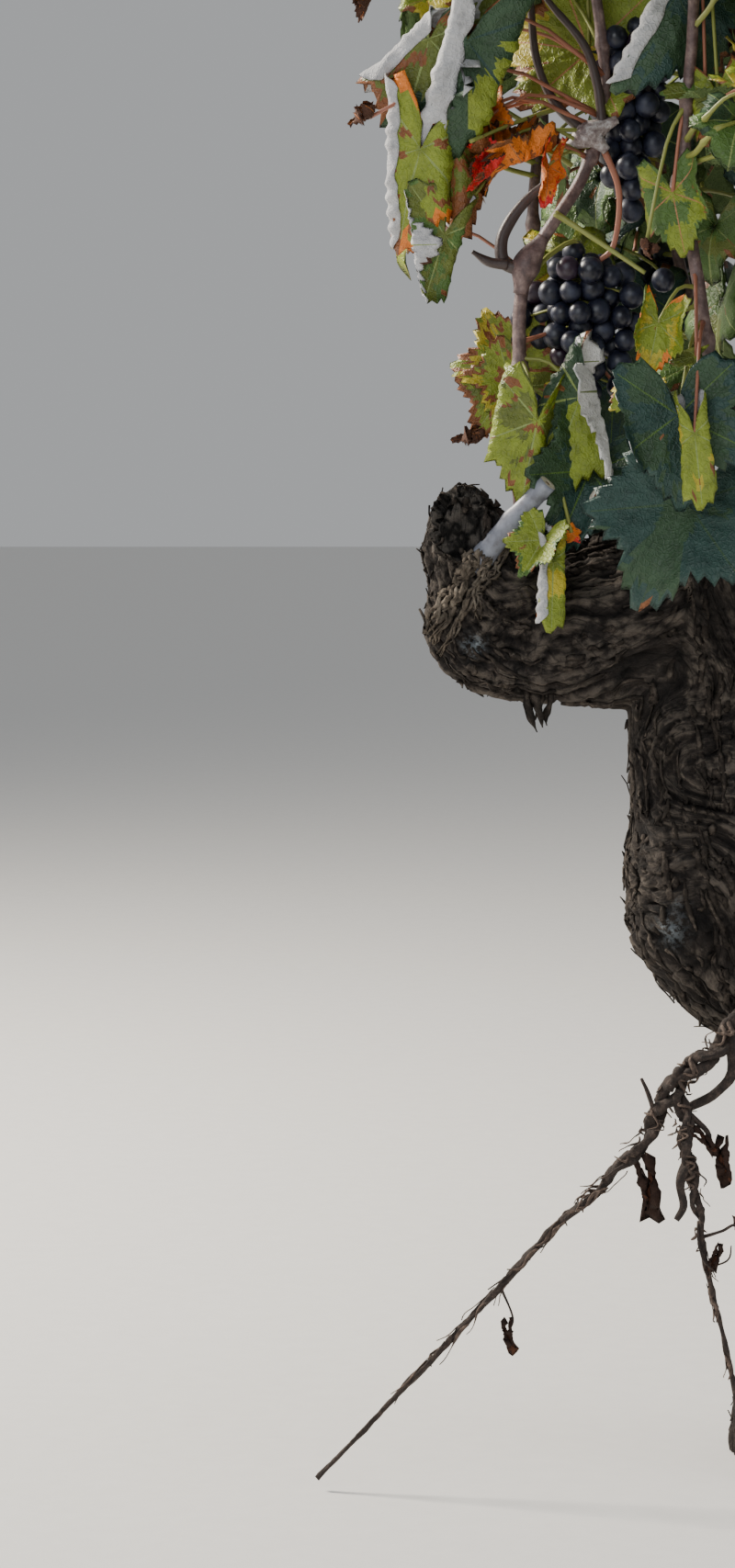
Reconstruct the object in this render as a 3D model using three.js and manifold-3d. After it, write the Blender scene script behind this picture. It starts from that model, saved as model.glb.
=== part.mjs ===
// An old grapevine in leaf and fruit at the end of summer.
// A thick, gnarled trunk leans over into a burl and forks into three short arms. Each arm carries pruned spurs
// and the feet of this year's canes, and each cane runs up into its own mass of leaves and bunches.
// Millimetres, +Z up. The origin is the centre of the flat cut at ground level, and -Y is the side seen first.
import * as THREE from "three";
import { mergeVertices } from "three/addons/utils/BufferGeometryUtils.js";
import Module from "manifold-3d";

const wasm = await Module();
wasm.setup();

const DEG = Math.PI / 180;
const UP = new THREE.Vector3(0, 0, 1);
const FRONT = new THREE.Vector3(0, -1, 0);

// Driving dimensions
const GAP = 0.3; // clearance where one piece stands on another
const CROWN = { x: -37, y: 20, halfWidth: 280, halfDepth: 300, foot: 505, top: 1300 };
const OUTER_MASSES = ["left", "front_left", "front", "front_right", "right", "back_right", "back", "back_left"];
const INNER_MASSES = ["middle_front", "middle_back"];
const FIRST_CANE_ANGLE = 194; // degrees round the crown, seen from above
const CANE_RING = 0.62; // of the crown's half width, where the outer canes stand
const INNER_RING = 0.2; // and the two inner ones
const FIRST_INNER_ANGLE = 62;
const MASS_FOOT = 642; // height at which a cane enters its mass of leaves
const CANE_RADIUS = 4.6;
const LEAF_WIDTH = 106;
const INTERNODE = 66;
const BUNCH_LENGTH = 108;

const point = ([x, y, z]) => new THREE.Vector3(x, y, z);
const mix = (a, b, share) => a + (b - a) * share;
const smooth = (share) => share * share * (3 - 2 * share);

// The same row of random numbers for the same seed.
function seeded(seed) {
  let state = seed >>> 0;
  return () => {
    state = (Math.imul(state, 1664525) + 1013904223) >>> 0;
    return state / 4294967296;
  };
}

// Solids

function solidFrom(points, faces) {
  const geometry = new THREE.BufferGeometry().setFromPoints(points);
  return new wasm.Manifold(
    new wasm.Mesh({
      numProp: 3,
      vertProperties: geometry.getAttribute("position").array,
      triVerts: Uint32Array.from(faces.flat()),
    }),
  );
}

// The largest body of a solid: loose scraps and sealed hollows are left out.
function mainBody(solid) {
  const bodies = solid.decompose();
  return bodies.reduce((best, body) => (body.volume() > best.volume() ? body : best));
}

function geometryOf(solid) {
  const { numProp, vertProperties, triVerts } = solid.getMesh();
  const corners = [];
  for (let i = 0; i < vertProperties.length; i += numProp) {
    corners.push(new THREE.Vector3().fromArray(vertProperties, i));
  }
  const geometry = new THREE.BufferGeometry().setFromPoints(corners);
  geometry.setIndex([...triVerts]);
  return geometry;
}

// Corners that a cut leaves almost on one another become one, so that no thread of no width is left.
const WELD = 1e-3;
const SMALLEST_EDGE = 0.25;

function welded(solid) {
  const geometry = mergeVertices(geometryOf(solid), WELD);
  return mainBody(new wasm.Manifold(
    new wasm.Mesh({
      numProp: 3,
      vertProperties: geometry.getAttribute("position").array,
      triVerts: Uint32Array.from(geometry.index.array),
    }),
  ));
}

function meshOf(name, solid, material) {
  const geometry = geometryOf(welded(mainBody(solid.simplify(SMALLEST_EDGE))));
  geometry.computeVertexNormals();
  const mesh = new THREE.Mesh(geometry, material);
  mesh.name = name;
  return mesh;
}

// Limbs: a ring of points is carried along a curve, its radius tapering from one named size to the next.

function curveOf(path) {
  return new THREE.CatmullRomCurve3(path.map(point), false, "catmullrom", 0.5);
}

function radiusAt(radii, share) {
  const place = share * (radii.length - 1);
  const first = Math.min(Math.floor(place), radii.length - 2);
  return mix(radii[first], radii[first + 1], smooth(place - first));
}

// Positions, directions across and radii along a limb.
function stations(limb) {
  const curve = curveOf(limb.path);
  const made = [];
  let across = FRONT.clone();
  for (let i = 0; i <= limb.steps; i++) {
    const share = i / limb.steps;
    const along = curve.getTangent(share);
    across = across.clone().addScaledVector(along, -across.dot(along)).normalize();
    const side = along.clone().cross(across);
    made.push({ share, place: curve.getPoint(share), across, side, radius: radiusAt(limb.radii, share) });
  }
  return made;
}

// How far swellings lift the surface at one place.
function swelling(limb, place) {
  return (limb.swellings ?? []).reduce((rise, s) => {
    const far = place.distanceTo(point(s.at)) / s.reach;
    return rise + s.rise * Math.exp(-far * far);
  }, 0);
}

function limbSolid(limb, grow = 0) {
  const points = [];
  const faces = [];
  const sides = limb.sides;
  for (const { share, place, across, side, radius } of stations(limb)) {
    for (let j = 0; j < sides; j++) {
      const angle = (2 * Math.PI * j) / sides;
      const out = across.clone().multiplyScalar(Math.cos(angle)).addScaledVector(side, Math.sin(angle));
      const ribs = (limb.flutes ?? []).reduce(
        (sum, f) => sum + f.depth * Math.cos(f.count * (angle - f.turn * share) + f.phase), 0);
      const plain = place.clone().addScaledVector(out, radius * (1 + ribs));
      points.push(plain.addScaledVector(out, swelling(limb, plain) + grow));
    }
  }
  for (let i = 0; i < limb.steps; i++) {
    for (let j = 0; j < sides; j++) {
      const a = i * sides + j;
      const b = i * sides + ((j + 1) % sides);
      faces.push([a, b, b + sides], [a, b + sides, a + sides]);
    }
  }
  const last = limb.steps * sides;
  for (let j = 1; j < sides - 1; j++) {
    faces.push([0, j + 1, j], [last, last + j, last + j + 1]);
  }
  return solidFrom(points, faces);
}

// A straight three-sided twig or stalk.
function twigSolid(from, to, fromRadius, toRadius) {
  return limbSolid({
    path: [from.toArray(), to.toArray()], radii: [fromRadius, toRadius], sides: 3, steps: 1,
  });
}

// The old wood

const trunk = {
  path: [[0, 0, -5], [0, 0, 85], [4, 4, 175], [-14, 4, 258], [-60, 3, 345], [-80, 2, 440], [-81, 0, 520],
    [-84, 0, 588]],
  radii: [66, 52, 48, 51, 70, 59, 56, 36],
  sides: 18,
  steps: 24,
  flutes: [
    { count: 3, depth: 0.06, turn: 1.1, phase: 0.4 },
    { count: 5, depth: 0.045, turn: -0.8, phase: 1.9 },
  ],
  swellings: [
    { at: [-112, -20, 330], reach: 42, rise: 13 },
    { at: [-100, -40, 395], reach: 34, rise: 8 },
    { at: [30, 40, 300], reach: 50, rise: 9 },
    { at: [-20, -60, 470], reach: 34, rise: 9 },
    { at: [55, -10, 120], reach: 34, rise: 7 },
    { at: [-30, -50, 0], reach: 46, rise: 9 },
    { at: [52, 42, 0], reach: 46, rise: 12 },
    { at: [-62, 40, 0], reach: 40, rise: 10 },
  ],
};

const arms = {
  left: {
    path: [[-82, 0, 530], [-135, -4, 512], [-186, -8, 503], [-220, -12, 518], [-240, -17, 552], [-243, -24, 580],
      [-239, -28, 595]],
    radii: [48, 45, 43, 41, 31, 25, 11],
    swellings: [
      { at: [-250, -30, 505], reach: 26, rise: 7 },
      { at: [-200, -50, 490], reach: 34, rise: 6 },
      { at: [-175, 10, 545], reach: 34, rise: 9 },
    ],
    caneFeet: [[-207, -14, 530], [-212, 6, 528], [-172, 12, 520]],
  },
  right: {
    path: [[-80, 0, 535], [-26, -26, 556], [34, -46, 566], [78, -55, 590], [96, -58, 610]],
    radii: [48, 40, 35, 29, 12],
    swellings: [
      { at: [70, -60, 585], reach: 30, rise: 9 },
      { at: [10, -60, 560], reach: 26, rise: 7 },
    ],
    caneFeet: [[-10, -36, 560], [36, -48, 568], [72, -54, 588]],
  },
  back: {
    path: [[-82, 4, 535], [-74, 58, 560], [-52, 122, 570], [-34, 166, 594], [-27, 182, 612]],
    radii: [46, 39, 34, 28, 12],
    swellings: [
      { at: [-40, 160, 590], reach: 30, rise: 9 },
      { at: [-75, 95, 560], reach: 28, rise: 7 },
    ],
    caneFeet: [[-66, 84, 566], [-50, 124, 574], [-36, 160, 592]],
  },
};
for (const arm of Object.values(arms)) {
  Object.assign(arm, { sides: 14, steps: 12, flutes: [{ count: 4, depth: 0.07, turn: 1.5, phase: 0.7 }] });
}

// Spurs cut short at the last pruning: [start inside the old wood, cut end].
const SPUR_RADIUS = 5.6;
const SPUR_SPREAD = 1; // how much thicker a spur is at its foot
const spurs = {
  left: [[-232, -38, 545], [-189, -60, 597]],
  middle: [[-106, -24, 544], [-166, -58, 590]],
  right: [[80, -58, 590], [121, -88, 632]],
  back: [[-36, 166, 590], [-18, 208, 634]],
};

// Dead shoots that hang from the burl: a twisted pair that sweeps down to the ground, and one that hangs from it.
const deadShoots = {
  long: {
    path: [[-48, -44, 316], [-82, -74, 277], [-118, -80, 243], [-144, -76, 200], [-192, -72, 153], [-246, -72, 94],
      [-330, -76, 6]],
    radii: [8.5, 8, 7.5, 7, 4.2, 3.6, 2.6],
    sides: 6,
    steps: 26,
    flutes: [{ count: 2, depth: 0.26, turn: 22, phase: 0 }],
  },
  hanging: {
    path: [[-116, -82, 240], [-113, -90, 214], [-107, -88, 178], [-101, -86, 140], [-86, -84, 78], [-76, -84, 22]],
    radii: [5, 6, 5.5, 3.4, 2.8, 2],
    sides: 5,
    steps: 12,
    flutes: [{ count: 2, depth: 0.2, turn: 10, phase: 0 }],
  },
};

// Canes and the paths of their stems

// The crown draws in below its skirt and above its shoulder, to shares of its half width.
const SKIRT = { foot: 560, height: 150, share: 0.7 };
const SHOULDER = { foot: 1040, share: 0.42 };

// How far the crown reaches out at one height, as a share of its half width.
function crownReach(height) {
  const low = smooth(THREE.MathUtils.clamp((height - SKIRT.foot) / SKIRT.height, 0, 1));
  const high = smooth(THREE.MathUtils.clamp((height - SHOULDER.foot) / (CROWN.top - SHOULDER.foot), 0, 1));
  return mix(SKIRT.share, 1, low) * mix(1, SHOULDER.share, high);
}

function inCrown({ x, y, z }) {
  const wide = (x - CROWN.x) / CROWN.halfWidth;
  const deep = (y - CROWN.y) / CROWN.halfDepth;
  return z > CROWN.foot && z < CROWN.top && Math.hypot(wide, deep) < crownReach(z);
}

function inPlan(angle, share, height) {
  const x = CROWN.x + CROWN.halfWidth * share * Math.cos(angle);
  const y = CROWN.y + CROWN.halfDepth * share * Math.sin(angle);
  return [x, y, height];
}

function nearestFoot(place) {
  const feet = Object.values(arms).flatMap((arm) => arm.caneFeet).map(point);
  return feet.reduce((best, foot) => (foot.distanceTo(place) < best.distanceTo(place) ? foot : best));
}

// The cane that the open side of the vine shows: it bends at a swollen node and leans back to the right.
const SHOWN_STEM = [[-210, -38, MASS_FOOT], [-207, -40, 718], [-172, -34, 780], [-160, -30, 836], [-182, -38, 980],
  [-196, -44, 1140], [-190, -40, 1190]];

// The other stems: heights at which each bends, its distance out there as a share of its ring, how far it strays
// (to the side in radians, and out as shares), and how far below the crown's top it ends.
const STEM_BENDS = [[MASS_FOOT, 0.9], [760, 1], [900, 1.06], [1040, 0.98]];
const STEM_TIP_SHARE = 0.72;
const STEM_SWAY = 0.34;
const STEM_STRAY = { least: 0.94, spread: 0.12 };
const STEM_DROP = { least: 45, spread: 130, outer: 60 };
const STEM_SEED = 700;

function stemPath(index) {
  if (index === 0) {
    return SHOWN_STEM;
  }
  const random = seeded(STEM_SEED + index);
  const outer = index < OUTER_MASSES.length;
  const turn = outer ? (360 / OUTER_MASSES.length) * index : 180 * index + FIRST_INNER_ANGLE;
  const angle = (FIRST_CANE_ANGLE + turn) * DEG;
  const ring = outer ? CANE_RING : INNER_RING;
  const top = CROWN.top - STEM_DROP.least - STEM_DROP.spread * random() - (outer ? STEM_DROP.outer : 0);
  return [...STEM_BENDS, [top, STEM_TIP_SHARE]].map(([height, share]) => {
    const sway = (random() - 0.5) * STEM_SWAY;
    return inPlan(angle + sway, ring * share * (STEM_STRAY.least + STEM_STRAY.spread * random()), height);
  });
}

const massNames = [...OUTER_MASSES, ...INNER_MASSES];
const stems = massNames.map((_, i) => stemPath(i));

// A cane leans out from its foot first and then rises: its bend is further along in plan than in height.
const CANE_BEND = { plan: 0.6, height: 0.42 };
const CANE_FOOT_SPREAD = 1.2;
const CANE_BEND_SPREAD = 0.4;
const canes = stems.map((path) => {
  const top = point(path[0]);
  const foot = nearestFoot(top);
  const bend = foot.clone().lerp(top, CANE_BEND.plan);
  bend.z = mix(foot.z, top.z, CANE_BEND.height);
  return {
    path: [foot.toArray(), bend.toArray(), top.toArray()],
    radii: [CANE_RADIUS + CANE_FOOT_SPREAD, CANE_RADIUS + CANE_BEND_SPREAD, CANE_RADIUS],
    sides: 6,
    steps: 5,
  };
});

// Room: each mass keeps to the places that are nearer to its own stem than to any other, and clear of the limbs.

function sampled(path, steps) {
  return curveOf(path).getPoints(steps);
}

function distanceToLine(place, line) {
  let best = Infinity;
  const nearest = new THREE.Vector3();
  const part = new THREE.Line3();
  for (let i = 0; i + 1 < line.length; i++) {
    part.set(line[i], line[i + 1]).closestPointToPoint(place, true, nearest);
    best = Math.min(best, nearest.distanceTo(place));
  }
  return best;
}

const STEM_STEPS = 12;
const SWELLING_ROOM = 12; // kept round a limb for its swellings
const stemLines = stems.map((path) => sampled(path, STEM_STEPS));
const limbLines = [trunk, ...Object.values(arms), ...canes].map((limb) => ({
  line: sampled(limb.path, limb.steps),
  radius: Math.max(...limb.radii) + (limb.swellings ? SWELLING_ROOM : 0),
}));
const spurLines = Object.values(spurs).map((path) => ({ line: path.map(point), radius: SPUR_RADIUS }));

// The middle of a stem at a share of the way along it.
function onStem(index, share) {
  const place = Math.min(share, 0.99) * STEM_STEPS;
  const first = Math.floor(place);
  return stemLines[index][first].clone().lerp(stemLines[index][first + 1], place - first);
}

const SPACE_MARGIN = 1.6; // each mass stays this far inside its own space
const LIMB_MARGIN = 3;

function hasRoom(index, places) {
  return places.every((place) => {
    const own = distanceToLine(place, stemLines[index]) + SPACE_MARGIN;
    return inCrown(place)
      && stemLines.every((line, other) => other === index || distanceToLine(place, line) > own)
      && [...limbLines, ...spurLines].every(({ line, radius }) =>
        distanceToLine(place, line) > radius + LIMB_MARGIN);
  });
}

// Leaves: three-lobed blades, cupped a little, thickest near the place where the stalk comes in.

// [angle from the tip in degrees, distance from the stalk as a share of the width], round from base to base
const LEAF_OUTLINE = [[232, 0.5], [300, 0.53], [330, 0.4], [0, 0.62], [30, 0.4], [60, 0.53], [128, 0.5]];
const LEAF_THICKNESS = 0.03;
const LEAF_CUP = 0.22;
const LEAF_MIDDLE = 0.12; // from the stalk to where the blade is thickest
const STALK_RADIUS = 1.5;
const STALK_FOOT = 1.2; // times as thick at its foot
const STALK_SECTION = [[-1, 0.4], [1, 0.4], [0, -0.9]]; // three corners, in radii across the stalk and up

function leafPlaces({ stalk, tip, face, width }) {
  const side = face.clone().cross(tip);
  const centre = stalk.clone().addScaledVector(tip, LEAF_MIDDLE * width);
  const rim = LEAF_OUTLINE.map(([degrees, share]) => stalk.clone()
    .addScaledVector(tip, Math.cos(degrees * DEG) * share * width)
    .addScaledVector(side, -Math.sin(degrees * DEG) * share * width)
    .addScaledVector(face, -LEAF_CUP * share * share * width));
  return { centre, rim, side };
}

// One closed body: the blade's two faces meet at its rim, and the stalk grows out of the notch at its base.
function leafSolid(leaf) {
  const { centre, rim, side } = leafPlaces(leaf);
  const half = (LEAF_THICKNESS * leaf.width) / 2;
  const along = leaf.stalk.clone().sub(leaf.root).normalize();
  const under = side.clone().cross(along).normalize();
  const section = (place, radius) => STALK_SECTION.map(([across, up]) =>
    place.clone().addScaledVector(side, across * radius).addScaledVector(under, -up * radius));
  const count = rim.length;
  const [upper, lower] = [count, count + 1];
  const [left, right, below] = [count + 2, count + 3, count + 4];
  const points = [
    ...rim,
    centre.clone().addScaledVector(leaf.face, half),
    centre.clone().addScaledVector(leaf.face, -half),
    ...section(leaf.stalk, STALK_RADIUS),
    ...section(leaf.root, STALK_RADIUS * STALK_FOOT),
  ];
  const round = [right, ...rim.keys(), left];
  const faces = [[upper, right, left], [lower, left, below], [lower, below, right]];
  for (let i = 0; i + 1 < round.length; i++) {
    faces.push([upper, round[i + 1], round[i]], [lower, round[i], round[i + 1]]);
  }
  const ring = [left, right, below];
  ring.forEach((corner, i) => {
    const next = ring[(i + 1) % 3];
    faces.push([corner, next + 3, corner + 3], [corner, next, next + 3]);
  });
  faces.push([left + 3, right + 3, below + 3]);
  return solidFrom(points, faces);
}

// A blade hangs from the end of its stalk, its tip down and its upper face turned out and up.
function hungLeaf(stalk, outwards, width, droop, roll) {
  const tip = outwards.clone()
    .multiplyScalar(Math.cos(droop))
    .addScaledVector(UP, -Math.sin(droop))
    .normalize();
  const face = outwards.clone().multiplyScalar(Math.sin(droop)).addScaledVector(UP, Math.cos(droop));
  face.applyAxisAngle(tip, roll).normalize();
  return { stalk, tip, face, width };
}

// Places on a leaf and its stalk that have to lie in the room of its mass.
const TESTED_ON_STALK = [0.35, 0.7];

function placesOf(leaf) {
  const { centre, rim } = leafPlaces(leaf);
  const stalk = TESTED_ON_STALK.map((share) => leaf.root.clone().lerp(leaf.stalk, share));
  return [centre, leaf.stalk, ...rim, ...stalk];
}

// Bunches: rows of berries, each row set between the berries of the row above.

const BUNCH_ROWS = 6;
const BERRIES_ROUND = 4;
const BERRY_BULGE = 0.17; // how far the berries stand out and the gaps lie in, as a share of the radius
const BUNCH_SHOULDER = 28;
const BUNCH_TIP = 10;
const BUNCH_TAPER = 1.5;
const BUNCH_CROWN = { share: 0.45, growth: 4 }; // its rounded top

// Radius of a full-size bunch at a share of its length down from its shoulder.
function bunchRadius(share) {
  return mix(BUNCH_SHOULDER, BUNCH_TIP, share ** BUNCH_TAPER)
    * Math.min(1, BUNCH_CROWN.share + share * BUNCH_CROWN.growth);
}

function bunchLimb(top, size) {
  const length = BUNCH_LENGTH * size;
  const shares = Array.from({ length: BUNCH_ROWS + 1 }, (_, i) => i / BUNCH_ROWS);
  return {
    path: shares.map((share) => [top.x, top.y, top.z - length * share]),
    radii: shares.map((share) => bunchRadius(share) * size),
    sides: 2 * BERRIES_ROUND,
    steps: BUNCH_ROWS,
    flutes: [{
      count: BERRIES_ROUND, depth: BERRY_BULGE, turn: (Math.PI * BUNCH_ROWS) / BERRIES_ROUND, phase: 0,
    }],
  };
}

function bunchPlaces(top, size) {
  return stations(bunchLimb(top, size)).flatMap(({ place, across, side, radius }) =>
    [0, 1, 2, 3].map((quarter) => place.clone()
      .addScaledVector(across, Math.cos((quarter * Math.PI) / 2) * radius * (1 + BERRY_BULGE))
      .addScaledVector(side, Math.sin((quarter * Math.PI) / 2) * radius * (1 + BERRY_BULGE))));
}

// Growth: one rule lists the leaves, twigs and bunches of a stem.

const FIRST_SEED = 6;
const TRIES = 12;
// The leaves of one node: its own leaf and those of its side shoot, each a little way along the stem from the last.
const SIDE_SHOOTS = [
  { place: 0, turn: 68, back: 0, spread: 1.3, reach: 0.62, size: 1, rise: 0.35, from: 0 },
  { place: 0.2, turn: -34, back: 0, spread: 2.2, reach: 0.8, size: 0.78, rise: 0.1, from: 0 },
  { place: 0.4, turn: 0, back: 1, spread: 3.4, reach: 0.6, size: 0.7, rise: 0.3, from: 0.12 },
  { place: 0.6, turn: 100, back: 0, spread: 2.4, reach: 1.05, size: 0.8, rise: 0, from: 0 },
];

// Leaves that stand out on the side seen first: `root` is a share of the stem's length, `stalk` the place where the
// stalk meets the blade, `tip` the way the blade hangs and `face` the way that its upper side looks.
const SHOWN_LEAVES = {
  left: [
    { root: 0.5, stalk: [-262, -92, 862], tip: [-0.5, 0.1, -0.8], face: [-0.5, -1, 0.5], width: 98 },
    { root: 0.56, stalk: [-226, -88, 872], tip: [-0.4, -0.2, -0.9], face: [1, -0.35, 0.2], width: 104 },
    { root: 0.42, stalk: [-268, -78, 786], tip: [-0.1, 0, -1], face: [-1, -0.8, 0.3], width: 92 },
    { root: 0.6, stalk: [-196, 8, 878], tip: [-0.1, 0, -1], face: [0.2, -1, 0.2], width: 96 },
    { root: 0.34, stalk: [-226, -76, 786], tip: [-0.3, -0.7, -0.35], face: [0.1, -0.5, 1], width: 58 },
    { root: 0.15, stalk: [-219, 4, 690], tip: [-0.25, 0.2, -0.9], face: [-0.35, -1, 0.2], width: 82 },
    { root: 0.1, stalk: [-196, -66, 654], tip: [-0.1, -0.05, -1], face: [0.35, -1, 0.1], width: 76 },
  ],
  front_left: [
    { root: 0.1, stalk: [-120, -166, 646], tip: [0.35, -0.1, -0.8], face: [0.1, -1, 0.35], width: 96 },
    { root: 0.22, stalk: [-96, -176, 706], tip: [-0.2, -0.1, -0.9], face: [0.3, -1, 0.3], width: 88 },
  ],
};
const STEEPEST_TURN = 84 * DEG; // between a stalk and its blade
const LEAF_DROOP = { least: 28, spread: 52 }; // degrees that a blade hangs below level
const LEAF_RISE_SPREAD = 0.8; // radians
const LEAF_ROLL_SPREAD = 0.9;
const LEAF_SIZES = { least: 0.88, spread: 0.24, tip: 0.55, shrinksFrom: 0.55 };
const STALK_LENGTHS = { least: 0.7, spread: 0.5 };
const WIDER_EACH_TRY = 0.25;
const SMALLER_EACH_TRY = 0.03;
const FIRST_NODE = 0.01; // shares of the stem's length
const LAST_NODE = 0.94;
const BUNCH_PLACES = [0.06, 0.24]; // shares of a stem's length from which bunches hang
const BUNCH_SIZES = { least: 0.82, spread: 0.2 };
const BUNCH_REACH = { least: 30, spread: 14 };
const BUNCH_DROP = 6;
const BUNCH_SPREAD = { first: 0.6, each: 0.45 };
const BUNCH_STALK = { depth: 4, foot: 2.2, end: 2 };
const SHOWN_BUNCHES = {
  left: [
    { root: 0.42, top: [-145, -14, 868], size: 0.98 },
    { root: 0.16, top: [-174, -16, 738], size: 0.86 },
  ],
};

// A solid with the box round it, so that only neighbours are compared.
function grownBody(solid) {
  const { min, max } = solid.boundingBox();
  return { solid, box: new THREE.Box3(new THREE.Vector3(...min), new THREE.Vector3(...max)) };
}

function touches(one, other) {
  return one.box.intersectsBox(other.box) && !one.solid.intersect(other.solid).isEmpty();
}

function bunchBody(top, size, root) {
  const inside = top.clone().addScaledVector(UP, -BUNCH_STALK.depth);
  const stalk = twigSolid(root, inside, BUNCH_STALK.foot, BUNCH_STALK.end);
  return grownBody(limbSolid(bunchLimb(top, size)).add(stalk));
}

// The leaves and bunches of one stem, none of which touches another.
function grow(index) {
  const random = seeded(FIRST_SEED + 20 * index);
  const length = curveOf(stems[index]).getLength();
  const nodes = Math.floor(length / INTERNODE);
  const grown = [];
  const bearingOf = (root) => Math.atan2(root.y - CROWN.y, root.x - CROWN.x);

  const shownBunches = SHOWN_BUNCHES[massNames[index]] ?? [];
  for (const { root, top, size } of shownBunches) {
    grown.push(bunchBody(point(top), size, onStem(index, root)));
  }
  for (const { root, stalk, tip, face, width } of SHOWN_LEAVES[massNames[index]] ?? []) {
    const down = point(tip).normalize();
    const out = point(face).addScaledVector(down, -point(face).dot(down)).normalize();
    const leaf = { root: onStem(index, root), stalk: point(stalk), tip: down, face: out, width };
    grown.push(grownBody(leafSolid(leaf)));
  }
  for (const share of shownBunches.length ? [] : BUNCH_PLACES) {
    const root = onStem(index, share);
    for (let attempt = 0; attempt < TRIES; attempt++) {
      const angle = bearingOf(root) + (random() - 0.5) * (BUNCH_SPREAD.first + attempt * BUNCH_SPREAD.each);
      const size = BUNCH_SIZES.least + BUNCH_SIZES.spread * random();
      const far = BUNCH_REACH.least + BUNCH_REACH.spread * random();
      const top = root.clone().add(new THREE.Vector3(far * Math.cos(angle), far * Math.sin(angle), -BUNCH_DROP));
      if (hasRoom(index, bunchPlaces(top, size))) {
        grown.push(bunchBody(top, size, root));
        break;
      }
    }
  }

  const tryLeaf = (root, bearing, spread, reach, width, rise) => {
    for (let attempt = 0; attempt < TRIES; attempt++) {
      const angle = bearing + (random() - 0.5) * spread * (1 + attempt * WIDER_EACH_TRY);
      const lift = rise + (random() - 0.5) * LEAF_RISE_SPREAD;
      const out = new THREE.Vector3(Math.cos(angle), Math.sin(angle), 0);
      const size = width * (1 - SMALLER_EACH_TRY * attempt);
      const far = reach * (STALK_LENGTHS.least + STALK_LENGTHS.spread * random());
      const stalk = root.clone()
        .addScaledVector(out, far * Math.cos(lift))
        .addScaledVector(UP, far * Math.sin(lift));
      const droop = Math.min((LEAF_DROOP.least + LEAF_DROOP.spread * random()) * DEG, STEEPEST_TURN - lift);
      const leaf = { ...hungLeaf(stalk, out, size, droop, (random() - 0.5) * LEAF_ROLL_SPREAD), root };
      if (hasRoom(index, placesOf(leaf))) {
        const body = grownBody(leafSolid(leaf));
        if (!grown.some((other) => touches(other, body))) {
          grown.push(body);
          return;
        }
      }
    }
  };

  for (let i = 0; i <= nodes; i++) {
    const share = i / nodes;
    const towardsTip = smooth(Math.max(0, share - LEAF_SIZES.shrinksFrom) / (1 - LEAF_SIZES.shrinksFrom));
    const size = LEAF_WIDTH * mix(1, LEAF_SIZES.tip, towardsTip)
      * (LEAF_SIZES.least + LEAF_SIZES.spread * random());
    for (const shoot of SIDE_SHOOTS) {
      const root = onStem(index, mix(FIRST_NODE, LAST_NODE, share) + (shoot.place * INTERNODE) / length);
      const bearing = bearingOf(root) + (i % 2 ? 1 : -1) * shoot.turn * DEG + shoot.back * Math.PI;
      if (share >= shoot.from) {
        tryLeaf(root, bearing, shoot.spread, size * shoot.reach, size * shoot.size, shoot.rise);
      }
    }
  }
  return grown;
}

const STEM_RADII = [CANE_RADIUS, CANE_RADIUS * 0.9, CANE_RADIUS * 0.75, 3, 2.6];

function massSolid(index) {
  const stem = limbSolid({ path: stems[index], radii: STEM_RADII, sides: 4, steps: STEM_STEPS });
  return wasm.Manifold.union([stem, ...grow(index).map(({ solid }) => solid)]);
}

// Assembly

const bark = new THREE.MeshStandardMaterial({ color: 0x4a423b, roughness: 0.95, metalness: 0 });
const cutWood = new THREE.MeshStandardMaterial({ color: 0x8c7f72, roughness: 0.8, metalness: 0 });
const caneWood = new THREE.MeshStandardMaterial({ color: 0x6b4a42, roughness: 0.6, metalness: 0 });
const deadWood = new THREE.MeshStandardMaterial({ color: 0x3a2a22, roughness: 0.9, metalness: 0 });
const foliage = new THREE.MeshStandardMaterial({ color: 0x5c7a2c, roughness: 0.7, metalness: 0 });

// Each piece is cut clear of those that were made before it.
const grapevine = new THREE.Group();
let taken = limbSolid(trunk, GAP);
// The trunk ends in a flat cut at ground level, and the root flare stands on it.
grapevine.add(meshOf("trunk", limbSolid(trunk).trimByPlane(UP.toArray(), 0), bark));
for (const [name, arm] of Object.entries(arms)) {
  grapevine.add(meshOf(`arm_${name}`, limbSolid(arm).subtract(taken), bark));
  taken = taken.add(limbSolid(arm, GAP));
}
for (const [name, path] of Object.entries(spurs)) {
  const spur = { path, radii: [SPUR_RADIUS + SPUR_SPREAD, SPUR_RADIUS], sides: 8, steps: 3 };
  grapevine.add(meshOf(`spur_${name}`, limbSolid(spur).subtract(taken), cutWood));
}
for (const [name, shoot] of Object.entries(deadShoots)) {
  grapevine.add(meshOf(`dead_shoot_${name}`, limbSolid(shoot).subtract(taken), deadWood));
  taken = taken.add(limbSolid(shoot, GAP));
}
canes.forEach((cane, i) => {
  grapevine.add(meshOf(`cane_${massNames[i]}`, limbSolid(cane).subtract(taken), caneWood));
});
const caneRoom = wasm.Manifold.union(canes.map((cane) => limbSolid(cane, GAP)));
stems.forEach((_, i) => {
  grapevine.add(meshOf(`foliage_${massNames[i]}`, massSolid(i).subtract(caneRoom), foliage));
});

export default grapevine;
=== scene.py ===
import math

import bpy
import numpy as np
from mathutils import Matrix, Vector
from mathutils.bvhtree import BVHTree


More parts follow.
